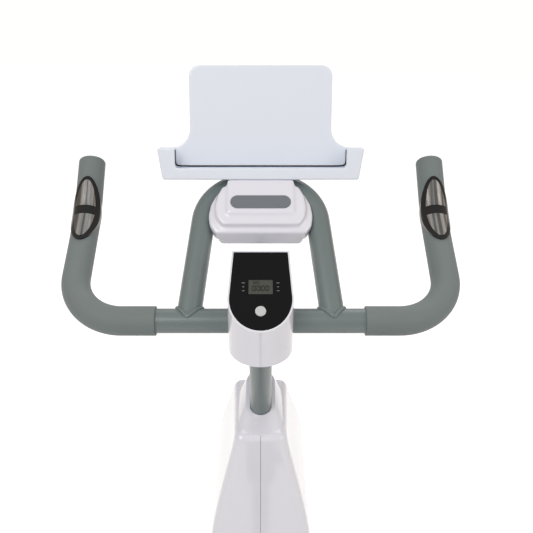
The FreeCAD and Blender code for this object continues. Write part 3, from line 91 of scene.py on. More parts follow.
def blendColour(tree, factor, first, second, kind="MIX"):
    node = tree.nodes.new("ShaderNodeMix")
    node.data_type, node.blend_type = "RGBA", kind
    for socket, value in zip((node.inputs[0], node.inputs[6], node.inputs[7]), (factor, first, second)):
        if isinstance(value, (int, float)):
            socket.default_value = value
        elif isinstance(value, tuple):
            socket.default_value = (*value[:3], 1)
        else:
            link(tree, value, socket)
    return node.outputs[2]


def noise(tree, scale, detail=3.0, place=None):
    texture = tree.nodes.new("ShaderNodeTexNoise")
    texture.inputs["Detail"].default_value = detail
    if place is None:
        place = tree.nodes.new("ShaderNodeTexCoord").outputs["Object"]
    link(tree, place, texture.inputs["Vector"])
    if isinstance(scale, (int, float)):
        texture.inputs["Scale"].default_value = scale
    else:
        link(tree, scale, texture.inputs["Scale"])
    return texture.outputs["Fac"]


def makeEdgeWear():  # 1 on rubbed edges, broken up by a noise
    inputs = [("Radius", "Float", 0.001), ("Amount", "Float", 0.5), ("Patch Size", "Float", 90.0)]
    group, given, out = newGroup("edgeWear", inputs, [("Mask", "Float")])
    bevel = group.nodes.new("ShaderNodeBevel")
    bevel.samples = 4
    link(group, given.outputs["Radius"], bevel.inputs["Radius"])
    geometry = group.nodes.new("ShaderNodeNewGeometry")
    dot = group.nodes.new("ShaderNodeVectorMath")
    dot.operation = "DOT_PRODUCT"
    link(group, bevel.outputs[0], dot.inputs[0])
    link(group, geometry.outputs["Normal"], dot.inputs[1])
    edge = maths(group, "MULTIPLY", maths(group, "SUBTRACT", 1.0, dot.outputs["Value"]), 9.0, clamp=True)
    patches = maths(group, "MULTIPLY", maths(group, "SUBTRACT", noise(group, given.outputs["Patch Size"]), 0.38), 4.0, clamp=True)
    rubbed = maths(group, "MULTIPLY", maths(group, "MULTIPLY", edge, patches), given.outputs["Amount"], clamp=True)
    link(group, rubbed, out.inputs["Mask"])
    return group


def makeToneDrift():  # slow change of tone and gloss over a surface
    inputs = [("Color", "Color", (0.5, 0.5, 0.5, 1)), ("Drift", "Float", 0.05), ("Patch Size", "Float", 8.0),
              ("Roughness", "Float", 0.4), ("Gloss Drift", "Float", 0.06)]
    group, given, out = newGroup("toneDrift", inputs, [("Color", "Color"), ("Roughness", "Float")])
    wide = noise(group, given.outputs["Patch Size"], 4.0)
    swing = maths(group, "MULTIPLY", maths(group, "SUBTRACT", wide, 0.5), 2.0)
    level = maths(group, "ADD", 1.0, maths(group, "MULTIPLY", swing, given.outputs["Drift"]))
    scaled = group.nodes.new("ShaderNodeVectorMath")
    scaled.operation = "SCALE"
    link(group, given.outputs["Color"], scaled.inputs[0])
    link(group, level, scaled.inputs["Scale"])
    link(group, scaled.outputs[0], out.inputs["Color"])
    smear = noise(group, maths(group, "MULTIPLY", given.outputs["Patch Size"], 5.0), 5.0)
    gloss = maths(group, "MULTIPLY", maths(group, "SUBTRACT", smear, 0.5), given.outputs["Gloss Drift"])
    link(group, maths(group, "ADD", given.outputs["Roughness"], gloss, clamp=True), out.inputs["Roughness"])
    return group


def makeFineGrain():  # the skin of a moulding, a powder coat or a casting
    inputs = [("Grain Size", "Float", 900.0), ("Depth", "Float", 0.1)]
    group, given, out = newGroup("fineGrain", inputs, [("Normal", "Vector"), ("Mask", "Float")])
    fine = noise(group, given.outputs["Grain Size"], 2.0)
    bump = group.nodes.new("ShaderNodeBump")
    bump.inputs["Distance"].default_value = 0.0004
    link(group, given.outputs["Depth"], bump.inputs["Strength"])
    link(group, fine, bump.inputs["Height"])
    link(group, bump.outputs[0], out.inputs["Normal"])
    link(group, fine, out.inputs["Mask"])
    return group


def makeSettledDust():  # thin dust where a surface faces up
    inputs = [("Amount", "Float", 0.1), ("Patch Size", "Float", 30.0)]
    group, given, out = newGroup("settledDust", inputs, [("Mask", "Float")])
    split = group.nodes.new("ShaderNodeSeparateXYZ")
    link(group, group.nodes.new("ShaderNodeNewGeometry").outputs["Normal"], split.inputs[0])
    upward = maths(group, "MULTIPLY", maths(group, "SUBTRACT", split.outputs["Z"], 0.35), 1.5, clamp=True)
    patchy = maths(group, "MULTIPLY", upward, noise(group, given.outputs["Patch Size"], 6.0))
    link(group, maths(group, "MULTIPLY", patchy, given.outputs["Amount"], clamp=True), out.inputs["Mask"])
    return group


def makeBrushLines():  # hair lines left by a belt or a lathe
    inputs = [("Across", "Vector", (1500.0, 30.0, 30.0)), ("Depth", "Float", 0.2)]
    group, given, out = newGroup("brushLines", inputs, [("Mask", "Float"), ("Normal", "Vector")])
    stretched = group.nodes.new("ShaderNodeVectorMath")
    stretched.operation = "MULTIPLY"
    link(group, group.nodes.new("ShaderNodeTexCoord").outputs["Object"], stretched.inputs[0])
    link(group, given.outputs["Across"], stretched.inputs[1])
    lines = noise(group, 1.0, 4.0, place=stretched.outputs[0])
    bump = group.nodes.new("ShaderNodeBump")
    bump.inputs["Distance"].default_value = 0.0002
    link(group, given.outputs["Depth"], bump.inputs["Strength"])
    link(group, lines, bump.inputs["Height"])
    link(group, lines, out.inputs["Mask"])
    link(group, bump.outputs[0], out.inputs["Normal"])
    return group


edgeWear, toneDrift, fineGrain = makeEdgeWear(), makeToneDrift(), makeFineGrain()
settledDust, brushLines = makeSettledDust(), makeBrushLines()


def place(tree, group, **values):
    node = tree.nodes.new("ShaderNodeGroup")
    node.node_tree = group
    for label, value in values.items():
        socket = node.inputs[label.replace("_", " ")]
        socket.default_value = (*value, 1) if socket.type == "RGBA" else value
    return node


finishes = {  # colour, gloss, tone drift, grain, rubbed edges and dust of each finish
    "frame_paint": dict(colour=(0.152, 0.192, 0.193), rough=0.36, drift=0.05, grain=(1400, 0.16),
                        wear=(0.0012, 0.35), worn=(0.3, 0.33, 0.33), coat=0.35, coatRough=0.22),
    "foam_grip": dict(colour=(0.160, 0.196, 0.196), rough=0.62, drift=0.06, grain=(2600, 0.32), dust=0.05,
                      sheen=0.12),
    "white_shell": dict(colour=(0.785, 0.795, 0.875), rough=0.12, drift=0.006, grain=(500, 0.015), coat=0.5,
                        coatRough=0.05, dust=0.03),
    "tray_plastic": dict(colour=(0.79, 0.85, 0.95), rough=0.25, drift=0.004, grain=(1800, 0.03), coat=0.3,
                         coatRough=0.12, dust=0.006),
    "grey_inlay": dict(colour=(0.155, 0.175, 0.20), rough=0.5, drift=0.04, grain=(2200, 0.25), dust=0.06),
    "face_black": dict(colour=(0.005, 0.005, 0.006), rough=0.10, drift=0.02, grain=(400, 0.01), specular=0.12,
                       coat=0.06, coatRough=0.03, dust=0.004),
    "lcd_glass": dict(colour=(0.060, 0.064, 0.052), rough=0.22, drift=0.08, grain=(3500, 0.05)),
    "button_grey": dict(colour=(0.55, 0.57, 0.58), rough=0.34, drift=0.03, grain=(2400, 0.1), wear=(0.0008, 0.3),
                        worn=(0.7, 0.71, 0.71)),
    "sensor_black": dict(colour=(0.007, 0.007, 0.008), rough=0.16, drift=0.03, grain=(600, 0.02), specular=0.3,
                         coat=0.2, coatRough=0.08, dust=0.01),
    "sensor_steel": dict(colour=(0.60, 0.60, 0.59), rough=0.30, drift=0.05, metal=1,
                         lines=((2600.0, 60.0, 90.0), 0.25)),
    "bright_steel": dict(colour=(0.56, 0.565, 0.57), rough=0.27, drift=0.06, metal=1,
                         lines=((40.0, 900.0, 900.0), 0.15), dust=0.05),
    "cast_flywheel": dict(colour=(0.075, 0.078, 0.082), rough=0.42, drift=0.12, metal=1, grain=(700, 0.5),
                          wear=(0.002, 0.5), worn=(0.34, 0.34, 0.34)),
    "pulley_alloy": dict(colour=(0.62, 0.63, 0.64), rough=0.3, drift=0.05, metal=1,
                         lines=((30.0, 1200.0, 1200.0), 0.2)),
    "crank_black": dict(colour=(0.018, 0.018, 0.019), rough=0.33, drift=0.15, grain=(1300, 0.18), wear=(0.0015, 0.6),
                        worn=(0.22, 0.22, 0.21), coat=0.3, coatRough=0.25, dust=0.08),
    "black_plastic": dict(colour=(0.018, 0.018, 0.019), rough=0.46, drift=0.12, grain=(1700, 0.4), wear=(0.001, 0.3),
                          worn=(0.08, 0.08, 0.08), dust=0.04),
    "black_rubber": dict(colour=(0.020, 0.020, 0.020), rough=0.72, drift=0.2, grain=(1200, 0.5), wear=(0.002, 0.35),
                         worn=(0.075, 0.073, 0.07), dust=0.16),
    "vinyl_black": dict(colour=(0.015, 0.015, 0.016), rough=0.44, drift=0.12, dust=0.02, coat=0.12, coatRough=0.35),
    "felt_pad": dict(colour=(0.36, 0.33, 0.27), rough=0.95, drift=0.2, grain=(900, 1.0), sheen=0.5),
    "stitch_thread": dict(colour=(0.10, 0.10, 0.105), rough=0.7, drift=0.15, lines=((900.0, 4000.0, 2500.0), 0.4),
                          sheen=0.3),
    "strap_webbing": dict(colour=(0.020, 0.020, 0.021), rough=0.8, drift=0.12, dust=0.06, sheen=0.25),
    "printed_grey": dict(colour=(0.30, 0.31, 0.31), rough=0.45, drift=0.1, grain=(3000, 0.1)),
    "lcd_ink": dict(colour=(0.020, 0.022, 0.018), rough=0.35, drift=0.15, grain=(3000, 0.1)),
}
dustColour = (0.42, 0.40, 0.37)


def makeFinish(slot, look):
    material = bpy.data.materials.new(slot.title().replace("_", ""))
    material.use_nodes = True
    tree = material.node_tree
    shader = tree.nodes["Principled BSDF"]
    shader.inputs["Metallic"].default_value = look.get("metal", 0)
    shader.inputs["Coat Weight"].default_value = look.get("coat", 0)
    shader.inputs["Coat Roughness"].default_value = look.get("coatRough", 0.1)
    shader.inputs["Sheen Weight"].default_value = look.get("sheen", 0)
    shader.inputs["Specular IOR Level"].default_value = look.get("specular", 0.5)
    tone = place(tree, toneDrift, Color=look["colour"], Drift=look["drift"], Roughness=look["rough"], Gloss_Drift=0.35 * look["rough"])
    colour, rough = tone.outputs["Color"], tone.outputs["Roughness"]
    if "wear" in look:
        rubbed = place(tree, edgeWear, Radius=look["wear"][0], Amount=look["wear"][1]).outputs["Mask"]
        colour = blendColour(tree, rubbed, colour, look["worn"])
        rough = maths(tree, "SUBTRACT", rough, maths(tree, "MULTIPLY", rubbed, 0.12), clamp=True)
    if "dust" in look:
        dust = place(tree, settledDust, Amount=look["dust"]).outputs["Mask"]
        colour = blendColour(tree, dust, colour, dustColour)
        rough = maths(tree, "ADD", rough, dust, clamp=True)
    if "grain" in look:
        skin = place(tree, fineGrain, Grain_Size=look["grain"][0], Depth=look["grain"][1])
        link(tree, skin.outputs["Normal"], shader.inputs["Normal"])
    if "lines" in look:
        lines = place(tree, brushLines, Across=look["lines"][0], Depth=look["lines"][1])
        link(tree, lines.outputs["Normal"], shader.inputs["Normal"])
        rough = maths(tree, "ADD", rough, maths(tree, "MULTIPLY", maths(tree, "SUBTRACT", lines.outputs["Mask"], 0.5), 0.25), clamp=True)
    link(tree, colour, shader.inputs["Base Color"])
    link(tree, rough, shader.inputs["Roughness"])
    return material


materials = {slot: makeFinish(slot, look) for slot, look in finishes.items()}


def addVinylGrain(material):  # pebbled skin: small cells with creases between them
    tree = material.node_tree
    shader = tree.nodes["Principled BSDF"]
    cells = tree.nodes.new("ShaderNodeTexVoronoi")
    cells.feature = "SMOOTH_F1"
    cells.inputs["Scale"].default_value = 520
    cells.inputs["Smoothness"].default_value = 0.4
    link(tree, tree.nodes.new("ShaderNodeTexCoord").outputs["Object"], cells.inputs["Vector"])
    creases = noise(tree, 60, 6.0)
    height = maths(tree, "ADD", maths(tree, "MULTIPLY", cells.outputs["Distance"], -1.0), maths(tree, "MULTIPLY", creases, 0.6))
    bump = tree.nodes.new("ShaderNodeBump")
    bump.inputs["Strength"].default_value = 0.45
    bump.inputs["Distance"].default_value = 0.0006
    link(tree, height, bump.inputs["Height"])
    link(tree, bump.outputs[0], shader.inputs["Normal"])


addVinylGrain(materials["vinyl_black"])


def addPaintedReflectionBands(material, across, reflectedDark):  # painted reflection: broad bright and dark streaks along the brushing, mixed into the colour in place of reflected dark surroundings
    tree = material.node_tree
    shader = tree.nodes["Principled BSDF"]
    shader.inputs["Anisotropic"].default_value = 0.5
    reflectionBands = place(tree, brushLines, Across=across, Depth=0.0).outputs["Mask"]
    reflectionShare = maths(tree, "MULTIPLY", maths(tree, "SUBTRACT", reflectionBands, 0.40), 4.0, clamp=True)
    link(tree, blendColour(tree, reflectionShare, reflectedDark, shader.inputs["Base Color"].links[0].from_socket), shader.inputs["Base Color"])


# sensor steel: dark streaks of painted reflection are mixed into its base colour
addPaintedReflectionBands(materials["sensor_steel"], (210.0, 2.5, 2.5), (0.16, 0.16, 0.155))


def dress(piece, slot):
    piece.data.materials.clear()
    piece.data.materials.append(materials[slot])


for row in frame["record"]["subparts"]:
    dress(nodes[row["node"]], row["material_slot"])
print("finishes made:", len(materials))


barCentre = (0.152, 1.080)  # y and z of the crossbar's axis


def alone(piece):
    bpy.ops.object.select_all(action="DESELECT")
    piece.select_set(True)
    bpy.context.view_layer.objects.active = piece


def editing(piece):
    alone(piece)
    bpy.ops.object.mode_set(mode="EDIT")


def done():
    bpy.ops.object.mode_set(mode="OBJECT")


def settle(piece, name, body, slot):  # place goes into the mesh, then the piece rides and takes its finish
    if not piece.data.polygons:
        raise RuntimeError(name + " has no faces")
    alone(piece)
    bpy.ops.object.transform_apply(location=True, rotation=True, scale=True)
    piece.name = piece.data.name = name
    dress(piece, slot)
    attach(piece, body)
    return piece


def apply(piece, kind, **values):
    alone(piece)
    modifier = piece.modifiers.new(kind.title(), kind)
    for label, value in values.items():
        setattr(modifier, label, value)
    bpy.ops.object.modifier_apply(modifier=modifier.name)


def smooth(piece, angle=40):
    alone(piece)
    bpy.ops.object.shade_smooth_by_angle(angle=math.radians(angle))


def copyOf(source, name):
    piece = bpy.data.objects.new(name, source.data.copy())
    scene.collection.objects.link(piece)
    return piece


def joined(pieces):
    bpy.ops.object.select_all(action="DESELECT")
    for piece in pieces:
        piece.select_set(True)
    bpy.context.view_layer.objects.active = pieces[0]
    bpy.ops.object.join()
    return bpy.context.object


def tube(name, points, radius, closed=False, radii=None, order=3, rings=3):  # a smooth run of round section, made a mesh
    curve = bpy.data.curves.new(name, "CURVE")
    curve.dimensions, curve.bevel_depth, curve.bevel_resolution, curve.use_fill_caps = "3D", radius, rings, not closed
    run = curve.splines.new("NURBS")
    run.points.add(len(points) - 1)
    for spot, point in zip(run.points, points):
        spot.co = (*point, 1)
    for spot, size in zip(run.points, radii or []):
        spot.radius = size
    run.use_cyclic_u, run.use_endpoint_u, run.order_u, run.resolution_u = closed, not closed, order, 2
    piece = bpy.data.objects.new(name, curve)
    scene.collection.objects.link(piece)
    alone(piece)
    bpy.ops.object.convert(target="MESH")
    return bpy.context.object


saddle = dict(voxel=0.0045, startIn=0.0035, pressure=4.5, lastFrame=20, cap=0.009, channelDeep=0.0065, channelHalf=0.011,
              seamRise=0.42, seamDeep=0.0016, seamHalf=0.0022, stitchEvery=0.0052, stitchLong=0.0034, stitchThick=0.00055,
              stitchRise=0.0046, seated=0.009, tailStart=0.03, tailRun=0.05, noseStart=0.045, noseRun=0.07, fill=0.85)


def padSaddle():
    low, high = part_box("saddle_cushion")
    cushion = copyOf(nodes["saddle_cushion"], "saddleCushion")
    editing(cushion)
    bpy.ops.mesh.select_all(action="SELECT")
    bpy.ops.mesh.remove_doubles(threshold=0.00002)
    bpy.ops.transform.shrink_fatten(value=-saddle["startIn"])
    done()
    apply(cushion, "REMESH", mode="VOXEL", voxel_size=saddle["voxel"])
    start = [vertex.co.copy() for vertex in cushion.data.vertices]
    held = cushion.vertex_groups.new(name="seated")
    held.add([v.index for v in cushion.data.vertices if v.co.z < low.z + saddle["seated"]], 1.0, "REPLACE")
    cloth = cushion.modifiers.new("Cloth", "CLOTH")
    cloth.settings.use_pressure = True
    cloth.settings.uniform_pressure_force = saddle["pressure"]
    cloth.settings.effector_weights.gravity = 0
    cloth.settings.vertex_group_mass = "seated"
    cloth.point_cache.frame_start, cloth.point_cache.frame_end = 1, saddle["lastFrame"]
    for step in range(1, saddle["lastFrame"] + 1):
        scene.frame_set(step)
    alone(cushion)
    bpy.ops.object.modifier_apply(modifier="Cloth")
    scene.frame_set(1)
    for vertex, before in zip(cushion.data.vertices, start):
        moved = vertex.co - before
        if moved.length > saddle["cap"]:
            vertex.co = before + moved.normalized() * saddle["cap"]
    apply(cushion, "SMOOTH", factor=0.5, iterations=4)
    apply(cushion, "SUBSURF", levels=1, render_levels=1)
    seamZ = low.z + (high.z - low.z) * saddle["seamRise"]
    for vertex, normal in [(v, v.normal.copy()) for v in cushion.data.vertices]:
        place = vertex.co
        tail = (place.y - low.y - saddle["tailStart"]) / saddle["tailRun"]
        nose = (high.y - saddle["noseStart"] - place.y) / saddle["noseRun"]
        along = min(max(tail, 0), 1) * min(max(nose, 0), 1)
        if normal.z > 0.2:
            widen = saddle["channelHalf"] * (0.7 + 0.5 * (high.y - place.y) / (high.y - low.y))
            place.z -= saddle["channelDeep"] * along * math.exp(-(place.x / widen) ** 2)
        if abs(normal.z) < 0.8:
            away = (place.z - seamZ) / saddle["seamHalf"]
            vertex.co = place - normal * saddle["seamDeep"] * math.exp(-away ** 2)
        if place.z > high.z:
            place.z = high.z + (place.z - high.z) * 0.3
        if vertex.co.z < low.z:
            vertex.co.z = low.z
    settle(cushion, "saddleCushion", "saddle", "vinyl_black")
    bpy.ops.object.shade_smooth()
    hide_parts("saddle_cushion")
    return cushion, seamZ


def outlineAt(piece, height):  # ordered points where the piece crosses a level
    cut = copyOf(piece, "levelCut")
    editing(cut)
    bpy.ops.mesh.select_all(action="SELECT")
    bpy.ops.mesh.bisect(plane_co=(0, 0, height), plane_no=(0, 0, 1), clear_inner=True, clear_outer=True)
    done()
    alone(cut)
    bpy.ops.object.convert(target="CURVE")
    cut = bpy.context.object
    runs = [[Vector(p.co[:3]) for p in run.points] for run in cut.data.splines]
    bpy.data.objects.remove(cut)
    return max(runs, key=len)


def stitchSaddle(cushion, seamZ):
    for name, rise in (("saddleStitchHigh", saddle["stitchRise"]), ("saddleStitchLow", -saddle["stitchRise"])):
        ring = outlineAt(cushion, seamZ + rise)
        ring.append(ring[0])
        length = sum((b - a).length for a, b in zip(ring, ring[1:]))
        count = int(length / saddle["stitchEvery"])
        step, walked, stitches, k = length / count, 0.0, [], 0
        bpy.ops.object.select_all(action="DESELECT")
        bpy.ops.mesh.primitive_cylinder_add(vertices=6, radius=saddle["stitchThick"], depth=saddle["stitchLong"],
                                            rotation=(0, math.pi / 2, 0))
        pattern = bpy.context.object
        bpy.ops.object.transform_apply(location=False, rotation=True, scale=False)
        editing(pattern)
        bpy.ops.mesh.select_all(action="SELECT")
        bpy.ops.mesh.bevel(offset=saddle["stitchThick"] * 0.5, segments=1)
        done()
        for a, b in zip(ring, ring[1:]):
            span = (b - a).length
            while k < count and walked + span >= k * step:
                spot = a.lerp(b, (k * step - walked) / span) if span else a
                stitch = copyOf(pattern, "stitch")
                turn = math.atan2(b.y - a.y, b.x - a.x)
                stitch.matrix_world = Matrix.Translation(spot) @ Matrix.Rotation(turn, 4, "Z")
                stitches.append(stitch)
                k += 1
            walked += span
        bpy.data.objects.remove(pattern)
        for stitch in stitches:
            stitch.data.transform(stitch.matrix_world)
            stitch.matrix_world = Matrix.Identity(4)
        settle(joined(stitches), name, "saddle", "stitch_thread")


cushion, seamZ = padSaddle()
stitchSaddle(cushion, seamZ)
print("saddle padded and sewn")


soft = {  # mouldings whose corners are drawn out round: grid size and smoothing passes
    "tablet_tray": dict(name="tabletTray", voxel=0.0014, passes=8, lean=-20.0, slot="tray_plastic"),
    "holder_bracket": dict(name="holderBracket", voxel=0.0013, passes=48, keepFlat=(0.0425, 0.142, 0.168), lean=33.0,
                           skirtTop=0.0003, skirtDeep=0.014, splay=0.10, slot="white_shell"),
}


def splaySkirt(piece, look):  # the lower skirt starts as wide as the rim above it and draws in to its own width
    top = Matrix.Rotation(math.radians(-look["lean"]), 3, "X") @ Vector((0, *barCentre))
    for vertex in piece.data.vertices:
        drop = top.z - vertex.co.z
        if drop > look["skirtTop"]:
            share = max(0.0, 1 - (drop - look["skirtTop"]) / look["skirtDeep"])
            vertex.co.x *= 1 + look["splay"] * share


def softenMoulding(node, look):
    piece = copyOf(nodes[node], look["name"])
    editing(piece)
    bpy.ops.mesh.select_all(action="SELECT")
    bpy.ops.mesh.remove_doubles(threshold=0.00002)
    done()
    level = Matrix.Rotation(math.radians(look["lean"]), 4, "X")  # the grid lies along the moulding's own faces
    piece.data.transform(level.inverted())
    apply(piece, "REMESH", mode="VOXEL", voxel_size=look["voxel"])
    if "skirtTop" in look:
        splaySkirt(piece, look)
    corners = piece.vertex_groups.new(name="corners")
    half, near, far = look.get("keepFlat", (0, 0, 0))
    run = (level.inverted() @ Vector((0, *barCentre))).y
    loose = [v.index for v in piece.data.vertices if abs(v.co.x) > half or not near < v.co.y - run < far]
    corners.add(loose, 1.0, "REPLACE")
    apply(piece, "SMOOTH", factor=0.5, iterations=look["passes"], vertex_group="corners")
    piece.data.transform(level)
    settle(piece, look["name"], "handlebar", look["slot"])
    bpy.ops.object.shade_smooth()
    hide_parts(node)


for node, look in soft.items():
    softenMoulding(node, look)
print("mouldings softened")


# the thin dark strip that stands in for the shade in the tablet slot: where it lies and its size
shadeStrip = dict(origin=(0.0, 0.2915, 1.211), lean=-20.0, face=0.0204, half=0.1165, foot=0.0168, top=0.039, corner=0.008,
             thick=0.0011, bend=0.006, cornerIn=0.0008, cornerUp=0.0012, flatSpots=(0.08, 0.04, 0.0))


def layShadeStrip():  # painted shade: a thin dark strip along the floor and ends of the tablet slot, put where the slot only has shade
    across, foot, top, corner = shadeStrip["half"], shadeStrip["foot"], shadeStrip["top"], shadeStrip["corner"]
    turn = (across - shadeStrip["cornerIn"], foot + shadeStrip["cornerUp"])
    side = [(across, top), (across, top - shadeStrip["bend"]), (across, foot + corner), turn, (across - corner, foot)]
    flat = [(x, foot) for x in shadeStrip["flatSpots"]]
    right = side + flat
    outline = right + [(-x, v) for x, v in reversed(right[:-1])]
    place = Matrix.Translation(shadeStrip["origin"]) @ Matrix.Rotation(math.radians(shadeStrip["lean"]), 4, "X")
    strip = tube("slotShadeStrip", [place @ Vector((x, shadeStrip["face"], v)) for x, v in outline], shadeStrip["thick"])
    settle(strip, "slotShadeStrip", "handlebar", "black_rubber")
    smooth(strip, 60)


# lays the dark strip of painted shade in the tablet slot
layShadeStrip()
print("slot lined")


webbing = dict(thick=0.0026, cornerR=0.020, bevel=0.0007, spare=0.0004, footGap=0.001, buckleWide=0.034, buckleTall=0.020,
               wire=0.0016, rim=0.0042, buckleBevel=0.0009, buckleUp=0.52)


def addWeave(material):  # flat woven tape: crossing ribs a little under 2 mm apart
    tree = material.node_tree
    shader = tree.nodes["Principled BSDF"]
    place = tree.nodes.new("ShaderNodeTexCoord").outputs["Object"]
    ribs = []
    for direction, scale in (("X", 170.0), ("DIAGONAL", 230.0)):
        wave = tree.nodes.new("ShaderNodeTexWave")
        wave.wave_type, wave.bands_direction = "BANDS", direction
        wave.inputs["Scale"].default_value = scale
        wave.inputs["Distortion"].default_value = 0.6
        wave.inputs["Detail"].default_value = 1.0
        link(tree, place, wave.inputs["Vector"])
        ribs.append(wave.outputs["Fac"])
    bump = tree.nodes.new("ShaderNodeBump")
    bump.inputs["Strength"].default_value = 0.6
    bump.inputs["Distance"].default_value = 0.0006
    link(tree, maths(tree, "MAXIMUM", *ribs), bump.inputs["Height"])
    link(tree, bump.outputs[0], shader.inputs["Normal"])


addWeave(materials["strap_webbing"])


def onCircle(centre, degrees, radius):
    angle = math.radians(degrees)
    return centre + Vector((math.cos(angle), 0, math.sin(angle))) * radius


def archPoints(low, high, thick, radius):  # the strap's middle line: up, over with round corners, down
    gap = webbing["footGap"]
    left, right, top = low.x + thick / 2, high.x - thick / 2, high.z - thick / 2
    points = [Vector((left, 0, low.z + gap + (top - radius - low.z) * k / 5)) for k in range(5)]
    for across, first in ((left + radius, 180), (right - radius, 90)):
        centre = Vector((across, 0, top - radius))
        points += [onCircle(centre, first - turn, radius) for turn in range(0, 91, 10)]
    points += [Vector((right, 0, top - radius - (top - radius - low.z - gap) * k / 5)) for k in range(1, 6)]
    return points


def makeToeStrap(hand):
    low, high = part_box("toe_strap_" + hand)
    line = archPoints(low, high, webbing["thick"] + webbing["spare"], webbing["cornerR"])
    bpy.ops.object.select_all(action="DESELECT")
    bpy.ops.mesh.primitive_plane_add(size=1)
    strap = bpy.context.object
    wide = high.y - low.y
    editing(strap)
    bpy.ops.mesh.select_mode(type="VERT")  # the last buckle left face mode on, where loose edges can't be picked
    bpy.ops.mesh.select_all(action="SELECT")
    bpy.ops.mesh.delete(type="ONLY_FACE")
    done()
    mesh = bmesh.new()
    mesh.from_mesh(strap.data)
    far = [v for v in mesh.verts if v.co.x > 0]
    bmesh.ops.delete(mesh, geom=far, context="VERTS")
    for vertex in mesh.verts:
        vertex.co = line[0] + Vector((0, low.y + wide / 2 + vertex.co.y * wide, 0))
    mesh.to_mesh(strap.data)
    mesh.free()
    editing(strap)
    bpy.ops.mesh.select_all(action="SELECT")
    for before, after in zip(line, line[1:]):
        bpy.ops.mesh.extrude_region_move(TRANSFORM_OT_translate={"value": after - before})
    bpy.ops.mesh.select_all(action="SELECT")
    bpy.ops.mesh.subdivide(number_cuts=1)
    bpy.ops.mesh.normals_make_consistent(inside=False)
    done()
    apply(strap, "SOLIDIFY", thickness=webbing["thick"], offset=0)
    apply(strap, "BEVEL", width=webbing["bevel"], segments=2, limit_method="ANGLE")
    settle(strap, "toeStrap" + hand.title(), "pedal_" + hand, "strap_webbing")
    smooth(strap, 50)
    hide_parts("toe_strap_" + hand)

    outer = low.x if hand == "left" else high.x
    way = -1 if hand == "left" else 1
    middle = Vector((outer + way * webbing["wire"] * 0.6, low.y + wide / 2,
                     low.z + (high.z - low.z) * webbing["buckleUp"]))
    bpy.ops.object.select_all(action="DESELECT")
    bpy.ops.mesh.primitive_cube_add(size=1, location=middle,
                                    scale=(webbing["wire"] * 2, webbing["buckleWide"], webbing["buckleTall"]))
    buckle = bpy.context.object
    bpy.ops.object.transform_apply(location=True, rotation=True, scale=True)
    editing(buckle)
    bpy.ops.mesh.select_mode(type="FACE")
    bpy.ops.mesh.select_all(action="DESELECT")
    done()
    for face in buckle.data.polygons:
        face.select = abs(face.normal.x) > 0.9
    editing(buckle)
    bpy.ops.mesh.inset(thickness=webbing["rim"], use_individual=True)
    bpy.ops.mesh.bridge_edge_loops()
    done()
    apply(buckle, "BEVEL", width=webbing["buckleBevel"], segments=2, limit_method="ANGLE")
    settle(buckle, "strapBuckle" + hand.title(), "pedal_" + hand, "bright_steel")
    smooth(buckle, 35)


for hand in ("left", "right"):
    makeToeStrap(hand)
print("toe straps made")


welds = dict(bead=0.0026, step=5, ripple=0.16, feet=0.093, top=0.072, run=0.200, lean=33.0, legR=0.016, barR=0.016,
             lift=0.0004)


def beadRound(name, body, points, bead):  # a weld bead: a closed run whose thickness swells and shrinks a little
    swell = [1.0 + welds["ripple"] * (1 if k % 2 else -1) for k in range(len(points))]
    piece = tube(name, points, bead, closed=True, radii=swell)
    settle(piece, name, body, "frame_paint")
    smooth(piece, 80)


def loopFeetWelds():
    lean = math.radians(welds["lean"])
    bar = Vector((0, *barCentre))
    for side in (-1, 1):
        along = Vector((side * (welds["top"] - welds["feet"]), welds["run"] * math.cos(lean),
                        welds["run"] * math.sin(lean))).normalized()
        across = along.cross(Vector((1, 0, 0))).normalized()
        outward = across.cross(along)
        points = []
        for turn in range(0, 360, welds["step"]):
            angle = math.radians(turn)
            around = across * math.cos(angle) + outward * math.sin(angle)
            start = bar + Vector((side * welds["feet"], 0, 0)) + around * (welds["legR"] + welds["lift"])
            a = along.y ** 2 + along.z ** 2
            b = (start.y - bar.y) * along.y + (start.z - bar.z) * along.z
            c = (start.y - bar.y) ** 2 + (start.z - bar.z) ** 2 - (welds["barR"] + welds["lift"]) ** 2
            root = max(b * b - a * c, 0.0)
            points.append(start + along * ((-b + math.sqrt(root)) / a))
        beadRound("loopWeldLeft" if side < 0 else "loopWeldRight", "handlebar", points, welds["bead"])


loopFeetWelds()
print("welds laid")


readout = dict(faceLean=27.0, faceStart=(-0.060, 0.028), lcdAt=0.062, lcdWide=0.030, lcdTall=0.020, sunk=0.0003, thick=0.00008,
               digitWide=0.0036, digitTall=0.0062, barThick=0.00055, gap=0.0055,
               rows=((1.0, 4, 0, -0.0018), (0.5, 3, -0.0055, 0.0062)),  # size, digits, across and up of each row
               colonUp=-0.0018, colonHalf=0.0016, colonDot=0.0009,
               dashWide=0.0042, dashTall=0.0007, dashAcross=0.0215, dashStep=0.0055, dashProud=0.00006)


def facePoint(x, along, proud):  # a place on the sloping console face
    lean = math.radians(readout["faceLean"])
    y, z = barCentre[0] + readout["faceStart"][0], barCentre[1] + readout["faceStart"][1]
    return Vector((x, y + along * math.cos(lean) - proud * math.sin(lean),
                   z + along * math.sin(lean) + proud * math.cos(lean)))


